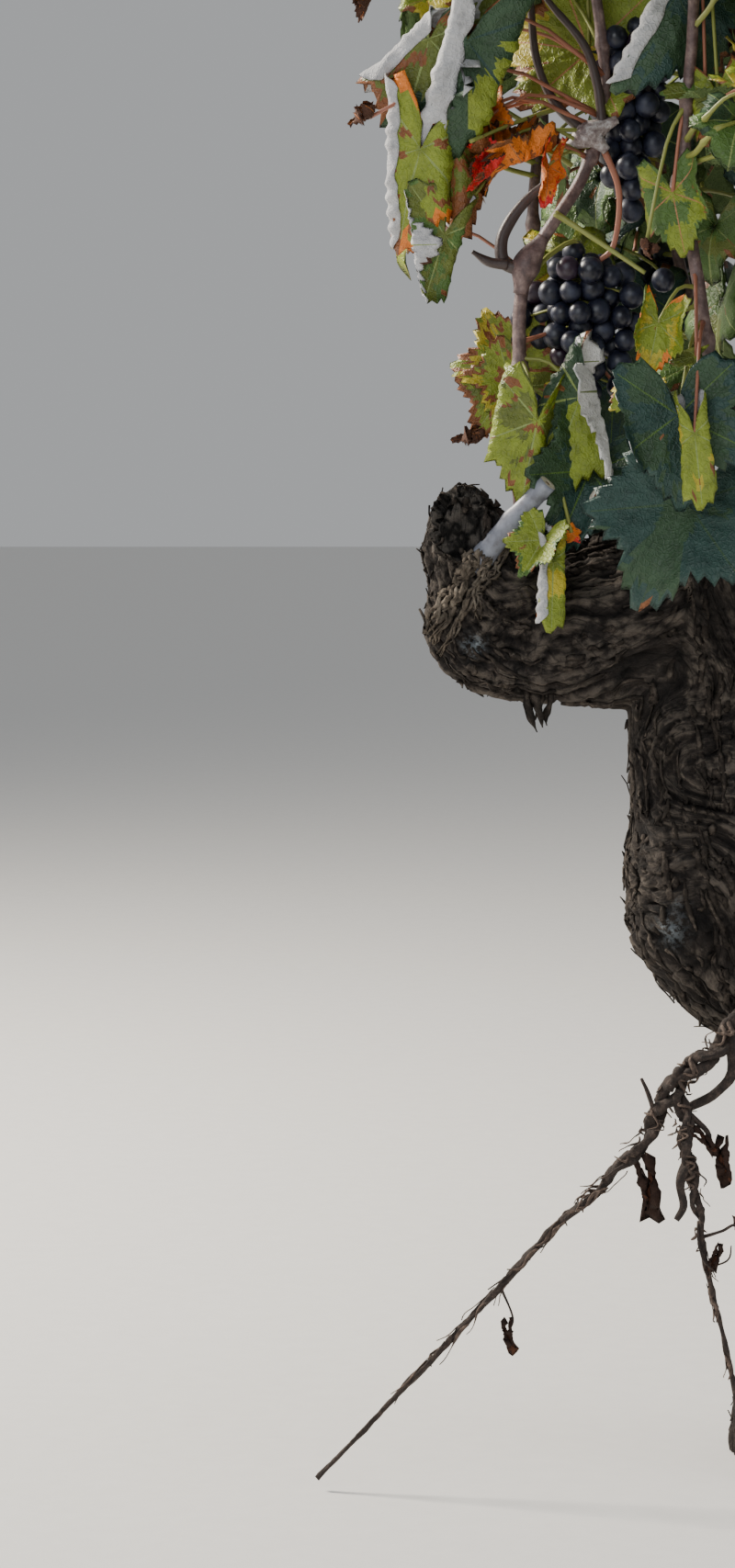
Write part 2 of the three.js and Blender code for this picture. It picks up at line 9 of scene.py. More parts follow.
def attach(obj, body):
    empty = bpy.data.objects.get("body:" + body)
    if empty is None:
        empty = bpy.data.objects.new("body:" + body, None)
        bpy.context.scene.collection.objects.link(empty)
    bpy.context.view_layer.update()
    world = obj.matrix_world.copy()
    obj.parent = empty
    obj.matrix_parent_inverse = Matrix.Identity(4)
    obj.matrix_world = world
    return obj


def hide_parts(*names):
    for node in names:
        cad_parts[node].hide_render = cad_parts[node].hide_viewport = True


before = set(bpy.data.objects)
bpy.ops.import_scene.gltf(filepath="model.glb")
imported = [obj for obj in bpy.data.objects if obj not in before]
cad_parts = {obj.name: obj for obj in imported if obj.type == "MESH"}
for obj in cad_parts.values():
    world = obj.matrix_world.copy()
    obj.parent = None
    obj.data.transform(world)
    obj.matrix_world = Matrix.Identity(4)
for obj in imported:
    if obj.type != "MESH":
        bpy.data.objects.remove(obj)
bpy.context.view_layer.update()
scene = bpy.context.scene

# The view
# The eye is level with the head of the trunk, two and a quarter metres in front of the vine and a step to its
# left, and looks a little down, so the vine stands at the right of the frame.

PHOTO_WIDTH, PHOTO_HEIGHT = 800, 1707
FOCAL_PIXELS = 4012
HORIZON_ROW = 520
EYE = Vector((-0.300, -2.229, 0.600))
PITCH = math.atan((PHOTO_HEIGHT / 2 - HORIZON_ROW) / FOCAL_PIXELS)
SENSOR = 36.0

camera_data = bpy.data.cameras.new("camera")
camera_data.sensor_width = SENSOR
camera_data.lens = SENSOR * FOCAL_PIXELS / PHOTO_HEIGHT
camera = bpy.data.objects.new("camera", camera_data)
camera.location = EYE
camera.rotation_euler = (math.pi / 2 - PITCH, 0, 0)
scene.collection.objects.link(camera)
scene.camera = camera


def seen_at(column, row, depth):
    """The place in the plane y = depth that the photograph shows at one of its pixels."""
    across = (column - PHOTO_WIDTH / 2) / FOCAL_PIXELS
    rise = (PHOTO_HEIGHT / 2 - row) / FOCAL_PIXELS
    ray = Vector((
        across,
        math.cos(PITCH) + rise * math.sin(PITCH),
        rise * math.cos(PITCH) - math.sin(PITCH),
    ))
    return np.array(EYE + ray * ((depth - EYE.y) / ray.y))


def pixels(places):
    """Where the photograph shows places, in its pixels."""
    away = places - np.array(EYE)
    ahead = away[:, 1] * math.cos(PITCH) - away[:, 2] * math.sin(PITCH)
    above = away[:, 1] * math.sin(PITCH) + away[:, 2] * math.cos(PITCH)
    return (PHOTO_WIDTH / 2 + FOCAL_PIXELS * away[:, 0] / ahead,
            PHOTO_HEIGHT / 2 - FOCAL_PIXELS * above / ahead)


# The studio
# A plain pale floor under soft light: a large warm lamp from the upper left and a little behind, as the low
# sun falls in the photograph, with a weak cool one from the front and one from the right.

FLOOR_SIZE = 60.0
FLOOR_DROP = 0.001
FLOOR_COLORS = [(0.3, (0.73, 0.72, 0.70)), (0.7, (0.76, 0.75, 0.73))]
AIM = Vector((-0.05, 0.0, 0.7))
LAMPS = {  # place, size, power and colour
    "key_lamp": ((-2.5, 1.1, 2.3), 0.8, 235, (1.0, 0.92, 0.80)),
    "front_lamp": ((-1.4, -3.0, 1.7), 2.4, 40, (0.92, 0.96, 1.0)),
    "right_lamp": ((2.8, -0.8, 1.8), 2.2, 24, (0.92, 0.96, 1.0)),
}
ROOM_COLOR = (0.86, 0.88, 0.9)
ROOM_LIGHT = 0.46


class Finish:
    """A material, with short ways to add nodes to it and to join their sockets."""

    def __init__(self, name, color, roughness, gloss=0.5):
        self.material = bpy.data.materials.new(name)
        self.material.use_nodes = True
        self.tree = self.material.node_tree
        self.shader = self.tree.nodes["Principled BSDF"]
        self.set(self.shader, {"Base Color": (*color, 1), "Roughness": roughness,
                               "Specular IOR Level": gloss})

    def set(self, node, values):
        for name, value in values.items():
            node.inputs[name].default_value = value
        return node

    def add(self, kind, values=None, **settings):
        node = self.tree.nodes.new("ShaderNode" + kind)
        for name, value in settings.items():
            setattr(node, name, value)
        return self.set(node, values or {})

    def give(self, value, socket):
        """A socket's number or colour, or the node's output that leads to it."""
        if isinstance(value, tuple):
            socket.default_value = (*value, 1)
        elif isinstance(value, (int, float)):
            socket.default_value = value
        else:
            self.tree.links.new(value, socket)

    def place(self):
        return self.add("TexCoord").outputs["Object"]

    def attribute(self, name, output="Fac"):
        return self.add("Attribute", attribute_name=name).outputs[output]

    def noise(self, scale, detail=4.0, roughness=0.6, vector=None):
        """Noise in the vine's own space, or along another vector."""
        node = self.add("TexNoise", {"Scale": scale, "Detail": detail, "Roughness": roughness})
        self.give(vector or self.place(), node.inputs["Vector"])
        return node.outputs["Fac"]

    def ramp(self, source, stops):
        """Colours, or shades of grey, at places from 0 to 1 along a value."""
        node = self.add("ValToRGB")
        marks = node.color_ramp.elements
        while len(marks) < len(stops):
            marks.new(0.5)
        for mark, (place, color) in zip(marks, stops):
            mark.position = place
            mark.color = (*color, 1) if isinstance(color, tuple) else (color, color, color, 1)
        self.give(source, node.inputs["Fac"])
        return node.outputs["Color"]

    def cells(self, scale, vector, stops):
        """Shades from the edge of each cell of a net to its middle."""
        node = self.add("TexVoronoi", {"Scale": scale}, feature="DISTANCE_TO_EDGE")
        self.give(vector, node.inputs["Vector"])
        return self.ramp(node.outputs["Distance"], stops)

    def mix(self, share, first, second):
        """The second colour over the first by a share."""
        node = self.add("Mix", data_type="RGBA")
        for value, number in ((share, 0), (first, 6), (second, 7)):
            self.give(value, node.inputs[number])
        return node.outputs[2]

    def maths(self, operation, first, second):
        node = self.add("Math", operation=operation)
        self.give(first, node.inputs[0])
        self.give(second, node.inputs[1])
        return node.outputs[0]

    def times(self, value, factor):
        return self.maths("MULTIPLY", value, factor)

    def plus(self, total, *others):
        for other in others:
            total = self.maths("ADD", total, other)
        return total

    def done(self, color, bumps=None, depth=0.0):
        """The material, with a colour all over it and bumps of a depth in metres."""
        self.give(color, self.shader.inputs["Base Color"])
        if bumps:
            node = self.add("Bump", {"Distance": depth, "Strength": 1.0})
            self.give(bumps, node.inputs["Height"])
            self.give(node.outputs["Normal"], self.shader.inputs["Normal"])
        return self.material


def mottled_finish(name, color, roughness, grain=None, colors=None, bumps=None, gloss=0.5):
    """Noise (scale, detail, roughness) leads through a row of colours, and finer noise (scale, detail) with a
    depth makes the bumps."""
    finish = Finish(name, color, roughness, gloss)
    if grain:
        color = finish.ramp(finish.noise(*grain), colors)
    if bumps:
        scale, detail, depth = bumps
        return finish.done(color, finish.noise(scale, detail), depth)
    return finish.done(color)


bpy.ops.mesh.primitive_plane_add(size=FLOOR_SIZE, location=(0, 0, -FLOOR_DROP))
floor = bpy.context.object
floor.name = "floor"
floor.data.materials.append(mottled_finish("pale_floor", (0.74, 0.73, 0.71), 0.9, (60, 3), FLOOR_COLORS))

for name, (place, size, power, color) in LAMPS.items():
    light = bpy.data.lights.new(name, "AREA")
    light.shape = "DISK"
    light.size = size
    light.energy = power
    light.color = color
    lamp = bpy.data.objects.new(name, light)
    lamp.location = place
    lamp.rotation_euler = (AIM - Vector(place)).to_track_quat("-Z", "Y").to_euler()
    lamp.visible_camera = False
    scene.collection.objects.link(lamp)

scene.world = bpy.data.worlds.new("pale_room")
scene.world.use_nodes = True
room = scene.world.node_tree.nodes["Background"]
room.inputs["Color"].default_value = (*ROOM_COLOR, 1)
room.inputs["Strength"].default_value = ROOM_LIGHT

# The old wood
# The trunk, its burl and its three arms are one piece of old wood, built up over decades. Its bark splits
# along the grain into grey-brown strands, swirls round the burl, and carries pale lichen and one old wound.

# flutes: how many, how deep, how far they turn along the limb, and where they start; swellings: centre, reach
# and rise of each
TRUNK = {
    "path": [(0, 0, -0.005), (0, 0, 0.085), (0.004, 0.004, 0.175), (-0.014, 0.004, 0.258),
             (-0.060, 0.003, 0.345), (-0.080, 0.002, 0.440), (-0.081, 0, 0.520), (-0.084, 0, 0.588)],
    "radii": [0.066, 0.052, 0.048, 0.051, 0.070, 0.059, 0.056, 0.036],
    "flutes": [(3, 0.06, 1.1, 0.4), (5, 0.045, -0.8, 1.9)],
    "swellings": [
        ((-0.112, -0.020, 0.330), 0.042, 0.013),
        ((-0.100, -0.040, 0.395), 0.034, 0.008),
        ((0.030, 0.040, 0.300), 0.050, 0.009),
        ((-0.020, -0.060, 0.470), 0.034, 0.009),
        ((0.055, -0.010, 0.120), 0.034, 0.007),
        ((-0.030, -0.050, 0), 0.046, 0.009),
        ((0.052, 0.042, 0), 0.046, 0.012),
        ((-0.062, 0.040, 0), 0.040, 0.010),
    ],
}
ARM_FLUTES = [(4, 0.07, 1.5, 0.7)]
ARMS = {
    "left": {
        "path": [(-0.082, 0, 0.530), (-0.135, -0.004, 0.512), (-0.186, -0.008, 0.503),
                 (-0.220, -0.012, 0.518), (-0.240, -0.017, 0.552), (-0.243, -0.024, 0.577),
                 (-0.240, -0.028, 0.590)],
        "radii": [0.048, 0.045, 0.043, 0.041, 0.031, 0.025, 0.011],
        "swellings": [
            ((-0.250, -0.030, 0.505), 0.026, 0.007),
            ((-0.200, -0.050, 0.490), 0.034, 0.006),
            ((-0.175, 0.010, 0.545), 0.034, 0.009),
            ((-0.272, -0.020, 0.545), 0.026, -0.011),
            ((-0.270, -0.028, 0.590), 0.026, -0.011),
            ((-0.190, -0.020, 0.460), 0.032, -0.011),
        ],
        "cane_feet": [(-0.207, -0.014, 0.530), (-0.212, 0.006, 0.528), (-0.172, 0.012, 0.520)],
    },
    "right": {
        "path": [(-0.080, 0, 0.535), (-0.026, -0.026, 0.556), (0.034, -0.046, 0.566), (0.078, -0.055, 0.590),
                 (0.096, -0.058, 0.610)],
        "radii": [0.048, 0.040, 0.035, 0.029, 0.012],
        "swellings": [((0.070, -0.060, 0.585), 0.030, 0.009), ((0.010, -0.060, 0.560), 0.026, 0.007)],
        "cane_feet": [(-0.010, -0.036, 0.560), (0.036, -0.048, 0.568), (0.072, -0.054, 0.588)],
    },
    "back": {
        "path": [(-0.082, 0.004, 0.535), (-0.074, 0.058, 0.560), (-0.052, 0.122, 0.570),
                 (-0.034, 0.166, 0.594), (-0.027, 0.182, 0.612)],
        "radii": [0.046, 0.039, 0.034, 0.028, 0.012],
        "swellings": [((-0.040, 0.160, 0.590), 0.030, 0.009), ((-0.075, 0.095, 0.560), 0.028, 0.007)],
        "cane_feet": [(-0.066, 0.084, 0.566), (-0.050, 0.124, 0.574), (-0.036, 0.160, 0.592)],
    },
}
LIMBS = [TRUNK, *ARMS.values()]
LIMB_STEPS = 120
LIMB_SIDES = 72
VOXEL = 0.0018
BLEND_ROUNDS = 18
MOST_TRIANGLES = 190000
STRAND_LENGTH = 6.0  # how many times longer than wide the strands of bark are
STRAND_WIDTHS = [0.017, 0.0085, 0.0044]
STRAND_HEIGHTS = [0.0050, 0.0038, 0.0024]
STRAND_SHADES = [0.36, 0.36, 0.28]
FURROWS = 17  # pairs of long furrows round a limb
GRAIN_STEPS = 90
GRAIN_PARTS = 40  # the skin's points are looked at part by part, to save memory
KNOTS = [  # centre, reach and turn of the grain that swirls round it
    ((-0.125, -0.055, 0.375), 0.055, 1.9),
    ((-0.105, -0.060, 0.455), 0.034, -1.7),
    ((-0.215, -0.050, 0.500), 0.036, 1.8),
    ((0.020, -0.050, 0.200), 0.036, 1.6),
    ((0.030, 0.040, 0.300), 0.045, -2.0),
    ((-0.060, 0.100, 0.565), 0.030, 1.5),
]
WOUND = {"centre": (-0.243, -0.043, 0.573), "facing": (-0.22, -0.97, 0.08), "radius": 0.0225}
LICHEN = [  # centre and reach of each patch: the first three make one small bright spot
    ((-0.238, -0.055, 0.500), 0.006),
    ((-0.238, -0.055, 0.500), 0.0045),
    ((-0.238, -0.055, 0.500), 0.0040),
    ((-0.124, -0.056, 0.330), 0.009),
    ((-0.117, -0.062, 0.346), 0.006),
    ((-0.060, -0.058, 0.420), 0.014),
    ((0.040, -0.030, 0.240), 0.020),
    ((0.050, 0.030, 0.150), 0.022),
    ((-0.086, 0.060, 0.372), 0.013),
    ((-0.070, 0.064, 0.400), 0.008),
    ((-0.040, 0.150, 0.550), 0.016),
    ((0.060, -0.030, 0.560), 0.014),
]


def curve(path, shares):
    """Places along a smooth line through the points of a path: at shares of it, or a number of even ones."""
    points = np.array(path, float)
    points = np.vstack([2 * points[0] - points[1], points, 2 * points[-1] - points[-2]])
    shares = np.linspace(0, 1, shares) if isinstance(shares, int) else np.asarray(shares, float)
    place = np.clip(shares, 0, 1) * (len(path) - 1)
    first = np.minimum(place.astype(int), len(path) - 2)
    t = (place - first)[:, None]
    p0, p1, p2, p3 = (points[first + k] for k in range(4))
    m1, m2 = 0.5 * (p2 - p0), 0.5 * (p3 - p1)
    return ((2 * t**3 - 3 * t**2 + 1) * p1 + (t**3 - 2 * t**2 + t) * m1
            + (3 * t**2 - 2 * t**3) * p2 + (t**3 - t**2) * m2)


def smooth(share):
    share = np.clip(share, 0, 1)
    return share * share * (3 - 2 * share)


def radius_along(radii, shares):
    radii = np.array(radii, float)
    place = np.clip(np.asarray(shares, float), 0, 1) * (len(radii) - 1)
    first = np.minimum(place.astype(int), len(radii) - 2)
    return radii[first] + (radii[first + 1] - radii[first]) * smooth(place - first)


def unit(vectors):
    vectors = np.asarray(vectors, float)
    return vectors / np.maximum(np.linalg.norm(vectors, axis=-1, keepdims=True), 1e-12)


def frames(places):
    """Directions along, across and to the side at each place of a line, without sudden turns."""
    along = unit(np.gradient(places, axis=0))
    across = np.zeros_like(along)
    last = np.array((0.0, -1.0, 0.0)) if abs(along[0][1]) < 0.95 else np.array((0.0, 0.0, 1.0))
    for i, direction in enumerate(along):
        last = last - direction * (last @ direction)
        last = last / np.linalg.norm(last)
        across[i] = last
    return along, across, np.cross(along, across)


def limb_stations(limb, steps):
    shares = np.linspace(0, 1, steps + 1)
    places = curve(limb["path"], shares)
    along, across, side = frames(places)
    return shares, places, along, across, side, radius_along(limb["radii"], shares)


def tube_faces(rings, sides):
    """Walls between rings of points, and a fan over each end."""
    i, j = np.meshgrid(np.arange(rings - 1), np.arange(sides), indexing="ij")
    a = (i * sides + j).ravel()
    b = (i * sides + (j + 1) % sides).ravel()
    last = (rings - 1) * sides
    fan = np.arange(1, sides - 1)
    zero = np.zeros_like(fan)
    ends = np.vstack([np.stack([zero, fan + 1, fan], axis=1),
                      np.stack([zero + last, last + fan, last + fan + 1], axis=1)])
    return [np.stack([a, b, b + sides, a + sides], axis=1), ends]


def spokes(across, side, sides):
    """Angles round a line, and at each of its places the directions that they point in."""
    angle = np.linspace(0, 2 * math.pi, sides, endpoint=False)
    return angle, (across[:, None] * np.cos(angle)[None, :, None]
                   + side[:, None] * np.sin(angle)[None, :, None])


def limb_shape(limb):
    """The limb's own form, before its bark: a tapering tube with flutes and swellings."""
    shares, places, _, across, side, radii = limb_stations(limb, LIMB_STEPS)
    angle, out = spokes(across, side, LIMB_SIDES)
    ribs = sum(depth * np.cos(count * (angle[None, :] - turn * shares[:, None]) + phase)
               for count, depth, turn, phase in limb.get("flutes", ARM_FLUTES))
    points = places[:, None] + out * (radii[:, None] * (1 + ribs))[..., None]
    rise = sum(lift * np.exp(-(np.linalg.norm(points - np.array(at), axis=-1) / reach) ** 2)
               for at, reach, lift in limb["swellings"])
    return (points + out * rise[..., None]).reshape(-1, 3), tube_faces(LIMB_STEPS + 1, LIMB_SIDES)


def mesh_of(name, shapes):
    """One mesh from shapes: each has points, lists of faces, and a material number for each list or face."""
    points, loops, starts, totals, kinds = [], [], [], [], []
    base = corner = 0
    for verts, groups, *rest in shapes:
        kinds_of = rest[0] if rest else [0] * len(groups)
        points.append(verts)
        for faces, kind in zip(groups, kinds_of):
            count, size = faces.shape
            loops.append((faces + base).ravel())
            starts.append(corner + size * np.arange(count))
            totals.append(np.full(count, size))
            kinds.append(np.full(count, kind) if np.isscalar(kind) else kind)
            corner += count * size
        base += len(verts)
    mesh = bpy.data.meshes.new(name)
    points = np.concatenate(points)
    loops = np.concatenate(loops)
    starts = np.concatenate(starts)
    mesh.vertices.add(len(points))
    mesh.vertices.foreach_set("co", points.ravel())
    mesh.loops.add(len(loops))
    mesh.loops.foreach_set("vertex_index", loops.astype(np.int32))
    mesh.polygons.add(len(starts))
    mesh.polygons.foreach_set("loop_start", starts.astype(np.int32))
    mesh.polygons.foreach_set("loop_total", np.concatenate(totals).astype(np.int32))
    mesh.polygons.foreach_set("material_index", np.concatenate(kinds).astype(np.int32))
    mesh.polygons.foreach_set("use_smooth", np.ones(len(starts), bool))
    mesh.update(calc_edges=True)
    return mesh


def add_piece(name, form, materials, nodes=()):
    """A mesh, or shapes for one, as an object that rides on the vine's one body and stands for CAD nodes."""
    mesh = mesh_of(name, form) if isinstance(form, list) else form
    piece = bpy.data.objects.new(name, mesh)
    scene.collection.objects.link(piece)
    for material in materials:
        mesh.materials.append(material)
    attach(piece, "root")
    if nodes:
        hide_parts(*nodes)
    return piece


def lattice(cells, seed):
    """A number from 0 to 1 for each cell of a lattice, the same each time."""
    mixed = (cells[..., 0] * 73856093 ^ cells[..., 1] * 19349663 ^ cells[..., 2] * 83492791
             ^ seed * 2654435761)
    mixed = (mixed ^ (mixed >> 13)) * 1274126177
    mixed = mixed ^ (mixed >> 16)
    return (mixed & 0xFFFFFF) / 0xFFFFFF


def noise(points, seed=0):
    """Smooth noise from 0 to 1 with one swell for each unit of length."""
    cells = np.floor(points).astype(np.int64)
    part = smooth(points - cells)
    total = 0
    for corner in np.ndindex(2, 2, 2):
        weight = np.prod(np.where(np.array(corner) == 1, part, 1 - part), axis=-1)
        total = total + weight * lattice(cells + np.array(corner), seed)
    return total


def strands(points, seed=0):
    """Rounded strands parted by narrow furrows, from 0 in a furrow to 1 on a strand."""
    return np.minimum(1, np.abs(2 * noise(points, seed) - 1) * 2.6) ** 0.7


def run_along(places):
    """How far along a line each of its places is."""
    return np.concatenate([[0], np.cumsum(np.linalg.norm(np.diff(places, axis=0), axis=1))])


def grain_along(limb, points):
    """Where points lie on a limb, turned round it and drawn out along it, and how far off in radii."""
    _, places, along, across, side, radii = limb_stations(limb, GRAIN_STEPS)
    nearest = np.concatenate([
        np.argmin(np.linalg.norm(part[:, None] - places[None], axis=2) / radii[None], axis=1)
        for part in np.array_split(points, GRAIN_PARTS)])
    away = points - places[nearest]
    x = np.sum(away * across[nearest], axis=1)
    y = np.sum(away * side[nearest], axis=1)
    run = run_along(places)[nearest] + np.sum(away * along[nearest], axis=1)
    angle = np.arctan2(y, x) + 5.0 * run
    around = np.stack([np.cos(angle), np.sin(angle)], axis=1) * radii.mean()
    far = np.linalg.norm(away, axis=1) / radii[nearest]
    return np.column_stack([around, run / STRAND_LENGTH]), far


def swirled(grain, points):
    """The grain turned round each knot."""
    grain = grain.copy()
    for centre, reach, turn in KNOTS:
        near = np.linalg.norm(points - np.array(centre), axis=1) / reach
        angle = turn * np.exp(-near * near)
        middle = grain[np.argmin(near)]
        away = grain - middle
        grain[:, 0] = middle[0] + away[:, 0] * np.cos(angle) - away[:, 2] * np.sin(angle) * STRAND_LENGTH
        grain[:, 2] = middle[2] + away[:, 2] * np.cos(angle) + away[:, 0] * np.sin(angle) / STRAND_LENGTH
    return grain


def bark_relief(points):
    """Height of the bark above the wood in metres, its share from furrow to ridge, and its grain. The share
    darkens the furrows and lightens the ridges: partly the bark's own tones, partly painted shade and light.
    """
    found = [grain_along(limb, points) for limb in LIMBS]
    far = np.array([away for _, away in found])
    weight = np.exp(-(far - far.min(axis=0)) * 14)
    weight /= weight.sum(axis=0)
    swirls = [swirled(grain, points) for grain, _ in found]
    height = share = 0
    for k, swirl in enumerate(swirls):
        grain = swirl + [0, 0, 3.7 * k]
        bend = noise(grain * 30, 5)[:, None] * 0.012
        wander = 4.0 * noise((grain + bend) / [0.024, 0.024, 0.012], 4)
        around = np.arctan2(grain[:, 1], grain[:, 0])
        furrow = np.minimum(1, 1.9 * np.abs(np.sin(FURROWS * around + wander)))
        layers = [0.5 * strands((grain + bend) / STRAND_WIDTHS[0], 1) + 0.5 * furrow,
                  strands((grain + bend) / STRAND_WIDTHS[1], 2),
                  strands((grain + bend * 0.5) * [1, 1, 1.7] / STRAND_WIDTHS[2], 3)]
        height = height + weight[k] * sum(rise * layer for rise, layer in zip(STRAND_HEIGHTS, layers))
        share = share + weight[k] * sum(shade * layer for shade, layer in zip(STRAND_SHADES, layers))
    lumps = noise(points / 0.030, 11) - 0.5
    crust = strands(points / 0.0068, 12) * smooth((noise(points / 0.045, 13) - 0.34) / 0.2)
    height = height - 0.0080 + 0.007 * lumps + 0.0024 * crust
    share = share * (0.80 + 0.20 * crust)
    return height, share, np.choose(np.argmin(far, axis=0)[:, None], swirls)


def flatten_wound(points, share):
    """The old wound: a flat cracked disc with a raised rim of bark, where a thick limb was sawn off."""
    centre = np.array(WOUND["centre"])
    facing = unit(np.array(WOUND["facing"]))
    away = points - centre
    depth = away @ facing
    flat = away - depth[:, None] * facing
    out = np.linalg.norm(flat, axis=1) / WOUND["radius"]
    angle = np.arctan2(flat[:, 2], flat[:, 0])
    ragged = out + 0.16 * (noise(np.column_stack([np.cos(angle), np.sin(angle), 0 * angle]) * 2.4, 21) - 0.5)
    inside = (ragged < 1) & (depth > -0.016)
    rim = np.exp(-((ragged - 1.07) / 0.13) ** 2) * (depth > -0.014)
    rays = np.abs(np.sin(3.5 * angle + 4 * noise(flat / 0.006, 22)))
    crack = np.exp(-(rays / 0.16) ** 2) * smooth(out * 1.6)
    crust = strands(points / 0.0062, 23) - 0.6
    level = -0.0012 + 0.0044 * crust - 0.0026 * crack - 0.0022 * np.exp(-(out / 0.16) ** 2)
    points = points + np.where(inside, level - depth, 0)[:, None] * facing
    points = points + (rim * 0.0026)[:, None] * facing
    # Inside the wound the share is darker in the cracks (painted shade); on the raised rim it is higher
    # (painted light).
    return (points, np.where(inside, 1.0, 0.0),
            np.where(inside, 0.34 - 0.3 * crack + 0.5 * crust, share + 0.25 * rim))


def with_modifiers(mesh, settings):
    """The mesh after a row of modifiers: (kind, its settings)."""
    form = bpy.data.objects.new("old_wood_form", mesh)
    scene.collection.objects.link(form)
    for kind, values in settings:
        modifier = form.modifiers.new(kind.lower(), kind)
        for name, value in values.items():
            setattr(modifier, name, value)
    made = bpy.data.meshes.new_from_object(form.evaluated_get(bpy.context.evaluated_depsgraph_get()))
    bpy.data.objects.remove(form)
    return made


def of_vertices(mesh, name):
    """The places or the normals of a mesh's vertices."""
    values = np.empty(len(mesh.vertices) * 3)
    mesh.vertices.foreach_get(name, values)
    return values.reshape(-1, 3)


def set_above_ground(mesh, points):
    points[:, 2] = np.maximum(points[:, 2], 0)
    mesh.vertices.foreach_set("co", points.ravel())


def old_wood_mesh():
    """The limbs grown into one skin, raised into bark, and then made of fewer faces where it is smooth."""
    solid = mesh_of("old_wood_form", [limb_shape(limb) for limb in LIMBS])
    mesh = with_modifiers(solid, [("REMESH", {"mode": "VOXEL", "voxel_size": VOXEL}),
                                  ("SMOOTH", {"factor": 0.5, "iterations": BLEND_ROUNDS})])
    points = of_vertices(mesh, "co")
    height, share, _ = bark_relief(points)
    points, _, _ = flatten_wound(points + of_vertices(mesh, "normal") * height[:, None], share)
    set_above_ground(mesh, points)
    mesh.update()
    triangles = sum(len(face.vertices) - 2 for face in mesh.polygons)
    mesh = with_modifiers(mesh, [("DECIMATE", {"ratio": min(1.0, MOST_TRIANGLES / triangles)})])
    points = of_vertices(mesh, "co")
    set_above_ground(mesh, points)
    _, share, grain = bark_relief(points)
    _, wound, share = flatten_wound(points, share)
    lichen = sum(np.exp(-(np.linalg.norm(points - np.array(at), axis=1) / reach) ** 2)
                 for at, reach in LICHEN)
    for name, values in (("relief", share), ("lichen", lichen), ("wound", wound)):
        mesh.attributes.new(name, "FLOAT", "POINT").data.foreach_set("value", values.astype(np.float32))
    mesh.attributes.new("grain", "FLOAT_VECTOR", "POINT").data.foreach_set(
        "vector", grain.astype(np.float32).ravel())
    mesh.polygons.foreach_set("use_smooth", np.ones(len(mesh.polygons), bool))
    mesh.update()
    return mesh


def bark_finish():
    """Dark furrows and pale ridges, partly the bark's own tones and partly painted shade and light, grey
    weathered patches, the cracked disc of the wound, and lichen.
    """
    finish = Finish("old_bark", (0.06, 0.05, 0.042), 0.92, 0.25)
    relief = finish.attribute("relief")
    grain = finish.attribute("grain", "Vector")
    thread = finish.noise(900, 5, 0.7, grain)
    grit = finish.noise(330, 6, 0.75)
    streak = finish.noise(270, 4, 0.7, grain)
    tone = finish.plus(relief, finish.times(thread, 0.4), finish.times(grit, 0.25), finish.times(streak, 0.9))
    bark = finish.ramp(finish.maths("SUBTRACT", tone, 0.79), [
        (0.08, (0.003, 0.0026, 0.0023)), (0.34, (0.011, 0.0088, 0.0078)), (0.62, (0.032, 0.0255, 0.022)),
        (0.92, (0.135, 0.112, 0.092))])
    patches = finish.ramp(finish.noise(22, 3), [(0.42, 0), (0.68, 1)])
    grey = finish.mix(finish.times(patches, 0.35), bark, (0.020, 0.0195, 0.021))
    disc = finish.ramp(finish.plus(relief, finish.times(grit, 0.4)), [
        (0.20, (0.003, 0.0026, 0.0023)), (0.46, (0.013, 0.0115, 0.0105)), (0.70, (0.100, 0.088, 0.078))])
    wood = finish.mix(finish.attribute("wound"), grey, disc)
    # Dark lines along the edges of a net of cells: painted shade in the bark's cracks.
    crack = finish.cells(120.0, grain, [(0.0, 0), (0.05, 1)])
    wood = finish.mix(crack, finish.mix(0.5, wood, (0.004, 0.0035, 0.003)), wood)
    speckle = finish.ramp(finish.noise(240, 6, 0.75), [(0.46, 0), (0.56, 1)])
    crust = finish.times(finish.attribute("lichen"), speckle)
    bumps = finish.plus(finish.times(thread, 0.8), grit, finish.times(crack, 0.3))
    return finish.done(finish.mix(crust, wood, (0.26, 0.30, 0.33)), bumps, 0.0026)


old_wood = old_wood_mesh()
add_piece("old_wood", old_wood, [bark_finish()], ["trunk", "arm_left", "arm_right", "arm_back"])

# The loose bark
# Old bark comes away from a vine in stringy strips and short scales a few millimetres wide. They lie along
# the grain with their free ends lifting. Thick strings run down over the left arm, and bits hang under it.

STRIPS = 560
STRIP_STEP = 0.0044
STRIP_THICKNESS = 0.0006
SCALES = 1500
SCALE_STEP = 0.0030
LOWEST_BARK = 0.006
HANGING_BARK = [  # places along each bit that hangs, and its widths there
    ([(-0.199, -0.034, 0.484), (-0.2045, -0.038, 0.470), (-0.203, -0.043, 0.458), (-0.199, -0.041, 0.449)],
     [0.004, 0.007, 0.006, 0.001]),
    ([(-0.197, -0.032, 0.482), (-0.200, -0.041, 0.470), (-0.197, -0.040, 0.458), (-0.196, -0.044, 0.452)],
     [0.003, 0.006, 0.004, 0.001]),
    ([(-0.192, -0.032, 0.482), (-0.191, -0.038, 0.468), (-0.194, -0.036, 0.458), (-0.1935, -0.041, 0.453)],
     [0.003, 0.005, 0.0035, 0.001]),
    ([(-0.195, -0.030, 0.482), (-0.1965, -0.036, 0.468), (-0.200, -0.034, 0.456)], [0.003, 0.005, 0.001]),
]
RIDGES = [  # pixels of the photograph along each thick string, from the cut spur's foot down, and its width
    ([(519, 598), (505, 618), (492, 640), (478, 664), (468, 690)], 0.0056),
    ([(527, 600), (513, 622), (500, 648), (489, 672), (474, 700)], 0.0048),
    ([(562, 580), (546, 606), (532, 631), (517, 647), (520, 674)], 0.0034),
    ([(535, 602), (524, 626), (505, 668), (480, 712)], 0.0038),
]
RIDGE_STRANDS = 4
RIDGE_SPREAD = 5.0  # pixels to each side
RIDGE_STEPS = 26  # places along a string
RIDGE_THICKNESS = 0.0016


